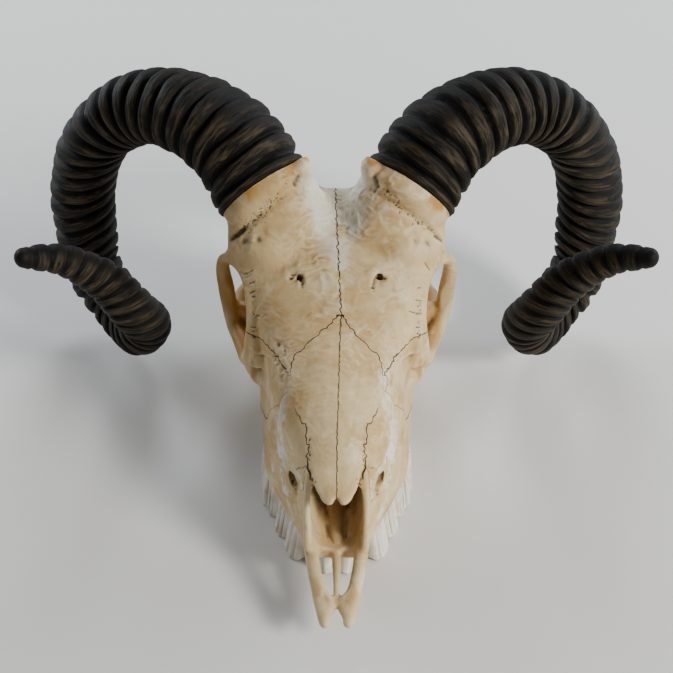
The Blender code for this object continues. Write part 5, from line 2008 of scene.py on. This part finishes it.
@dataclass
class ToothRow:
    """The six cheek teeth of one side, ribbed along their height and worn at the end."""
    side: Side
    line: Knots = ((34.5, -8), (34.8, -30), (34, -52), (23, -74), (14, -91), (8, -97))
    teeth: Sequence[Tooth] = (
        Tooth("m3", 22, 7.2, 0.8, 2, end=0.5), Tooth("m2", 21, 7.4, 1.0, 2),
        Tooth("m1", 17.5, 7.2, 2.2, 2, end=0.2), Tooth("p4", 14.5, 6.6, 4.4, 1, 28, 2.5),
        Tooth("p3", 13.5, 6, 5.0, 1, 25.5, 4.5), Tooth("p2", 14, 4.2, -2.0, 1, 24, 9))
    worn_face: Knots = ((0.12, 1.2), (0.3, 1.6), (0.44, 0.5), (0.52, 0.4), (0.66, 1.7), (0.8, 1.5),
                        (0.9, 0.35), (0.955, 0.05))
    edge_share: float = 0.985
    wear_depth: float = 7.0
    space: float = 0.6
    ridge_width: float = 0.8
    slant: float = 0.07
    scallop: float = 1.2
    rows: int = 26
    points_along: int = 34
    seed: int = 23
    sharp: float = 50.0

    def outline(self, tooth: Tooth, start: float, row: float, grain: Grain) -> np.ndarray:
        """Gives a tooth's outline at a height.

        Args:
            tooth: The tooth.
            start: Where it starts along the row.
            row: Height above the surface that it rests on.
            grain: Values that make each tooth different.

        Returns:
            Points (x, y) round the tooth.
        """
        line = np.array(self.line, float)
        knots = lengths_along(line)
        share = np.linspace(0, 1, self.points_along)
        places = start + self.space / 2 + (tooth.length - self.space) * share
        centres = smooth_values(knots, line, places)
        ahead = smooth_values(knots, line, places + 0.5) - smooth_values(knots, line, places - 0.5)
        ahead /= np.linalg.norm(ahead, axis=1)[:, None]
        outward = np.column_stack([-ahead[:, 1], ahead[:, 0]])
        ends = np.clip(np.minimum(share, 1 - share) * 9, 0, 1) ** 0.6
        slant = self.slant * row / tooth.top
        ridges = np.linspace(0.05, 0.95, 3 + tooth.lobes) + slant
        ribs = sum(bump_at((share - at) * tooth.length, self.ridge_width) for at in ridges)
        lobes = np.abs(np.sin(math.pi * share * tooth.lobes))
        swell = 1.0 - 0.12 * soft_step(14, tooth.top, np.array(row))
        spots = np.column_stack([places, np.full(len(places), row / 6), np.zeros(len(places))])
        noise = grain.at(spots, 1.4)
        outer = tooth.half_width * (0.76 + 0.14 * ribs + 0.10 * lobes) + noise * 0.16
        inner = tooth.half_width * (0.66 + 0.3 * lobes) + noise[::-1] * 0.14
        shift = tooth.lean * float(np.interp(row, [0, 10, tooth.top], [1.0, 0.6, -0.1]))
        middles = centres + outward * shift - (0, tooth.ahead * max(0.0, 1 - row / 20))
        buccal = middles + outward * (outer * ends * float(swell))[:, None]
        lingual = middles - outward * (inner * ends * float(swell))[:, None]
        return np.concatenate([buccal, lingual[::-1][1:-1]])

    def tooth(self, tooth: Tooth, start: float) -> bpy.types.Object:
        """Builds one tooth with ridges on its worn face and a scalloped outer edge."""
        grain = Grain(self.seed + int(start))
        share = np.linspace(0, 1, self.points_along)
        valley = 1 - np.abs(np.sin(math.pi * share * tooth.lobes))
        notch = self.scallop * np.concatenate([valley, 0.5 * valley[::-1][1:-1]])
        rings = []
        worn = self.outline(tooth, start, 0.0, grain)
        centre = worn.mean(axis=0)
        for part, height in self.worn_face:
            flat = centre + (worn - centre) * part
            rings.append(np.column_stack([flat, tooth.end + height + notch * part]))
        for height in (0.0, 0.35, *np.linspace(1.2, tooth.top, self.rows)):
            ring = self.outline(tooth, start, height, grain)
            if height == 0.0:
                ring = centre + (ring - centre) * self.edge_share
            down = max(0.0, 1 - height / self.wear_depth)
            rings.append(np.column_stack([ring, height + (tooth.end + notch) * down]))
        rings = np.array(rings)
        rings[..., 0] *= self.side.value
        return loft(tooth.name, rings)

    def build(self, finish: ToothFinish) -> bpy.types.Object:
        """Builds and dresses the row of teeth."""
        made = []
        at = 0.0
        for tooth in self.teeth:
            made.append(self.tooth(tooth, at))
            at += tooth.length
        row = joined(f"cheek_teeth_{self.side.label}", made)
        store_hollows(row, 5, 0.25)
        dress(row, finish.make(), self.sharp)
        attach(row, "root")
        tell(row)
        return row


def build_horn(horn: Horn, material: bpy.types.Material) -> bpy.types.Object:
    """Builds and dresses a horn in place of the lengths that the solids give it."""
    thing = horn.build()
    keep_in_box(thing)
    store_hollows(thing, 10, 0.35)
    normals = read_normals(thing)
    # front: faces turned forward and down, where the horn's finish paints its tan partly as warm light
    write_values(thing, "front", soft_step(-0.25, 0.75, -normals[:, 1] * 0.8 - normals[:, 2] * 0.25))
    dress(thing, material)
    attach(thing, "root")
    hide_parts(*[f"horn_{horn.side.label}_{number}" for number in (1, 2, 3, 4)])
    tell(thing)
    return thing


# Studio


class Lamp(NamedTuple):
    """A soft square light: its place and side in metres, its power in watts and its colour."""
    name: str
    place: Point
    size: float
    power: float
    tint: Colour


@dataclass
class Studio:
    """The pale floor, the soft lights and the camera."""
    view: View = View()
    floor_half: float = 4.0
    lamps: Sequence[Lamp] = (
        Lamp("key", (1.45, -0.85, 1.0), 0.45, 46, (1.0, 0.985, 0.94)),
        Lamp("fill", (-1.2, -1.0, 1.1), 1.2, 1.6, (1.0, 0.97, 0.92)),
        Lamp("back", (0.0, 1.3, 1.2), 0.5, 12, (0.88, 0.94, 1.0)),
        Lamp("rim_left", (1.2, 1.0, 0.6), 0.6, 15, (0.88, 0.94, 1.0)),
        Lamp("rim_right", (-1.2, 1.0, 0.6), 0.6, 18, (0.88, 0.94, 1.0)))
    aim: Point = (0, 0, 0.09)
    sky: Colour = (0.97, 0.98, 1.0)
    sky_strength: float = 0.15
    nearest: float = 0.05

    def floor(self) -> None:
        """Lays the floor."""
        half = self.floor_half
        mesh = bpy.data.meshes.new("floor")
        mesh.from_pydata([(-half, -half, 0), (half, -half, 0), (half, half, 0), (-half, half, 0)], [],
                         [(0, 1, 2, 3)])
        thing = linked("floor", mesh)
        dress(thing, FloorFinish().make())

    def camera(self) -> None:
        """Places the camera at the photograph's angle to the skull."""
        data = bpy.data.cameras.new("camera")
        data.lens = self.view.lens
        data.sensor_width = self.view.sensor
        data.clip_start = self.nearest
        thing = linked("camera", data)
        thing.location = to_metres(np.array(self.view.eye))
        thing.rotation_euler = self.view.back.to_track_quat("Z", "Y").to_euler()
        bpy.context.scene.camera = thing

    def light(self, lamp: Lamp) -> None:
        """Hangs a lamp that faces the skull."""
        data = bpy.data.lights.new(lamp.name, "AREA")
        data.shape = "SQUARE"
        data.size = lamp.size
        data.energy = lamp.power
        data.color = lamp.tint
        thing = linked(lamp.name, data)
        thing.location = lamp.place
        thing.rotation_euler = (Vector(self.aim) - Vector(lamp.place)).to_track_quat("-Z", "Y").to_euler()

    def build(self) -> None:
        """Sets up the floor, lights, surroundings and camera."""
        self.floor()
        for lamp in self.lamps:
            self.light(lamp)
        world = bpy.data.worlds.new("studio")
        world.use_nodes = True
        background = world.node_tree.nodes["Background"]
        background.inputs["Color"].default_value = (*self.sky, 1.0)
        background.inputs["Strength"].default_value = self.sky_strength
        bpy.context.scene.world = world
        self.camera()


def main() -> None:
    """Builds the skull, its teeth, its horns and the studio."""
    logging.basicConfig(level=logging.INFO, format="%(name)s %(message)s")
    Skull(Horn(Side.LEFT)).build(BoneFinish())
    for side in Side:
        ToothRow(side).build(ToothFinish())
    horn_material = HornFinish().make()
    for side in Side:
        build_horn(Horn(side), horn_material)
    Studio().build()


if __name__ == "__main__":
    main()
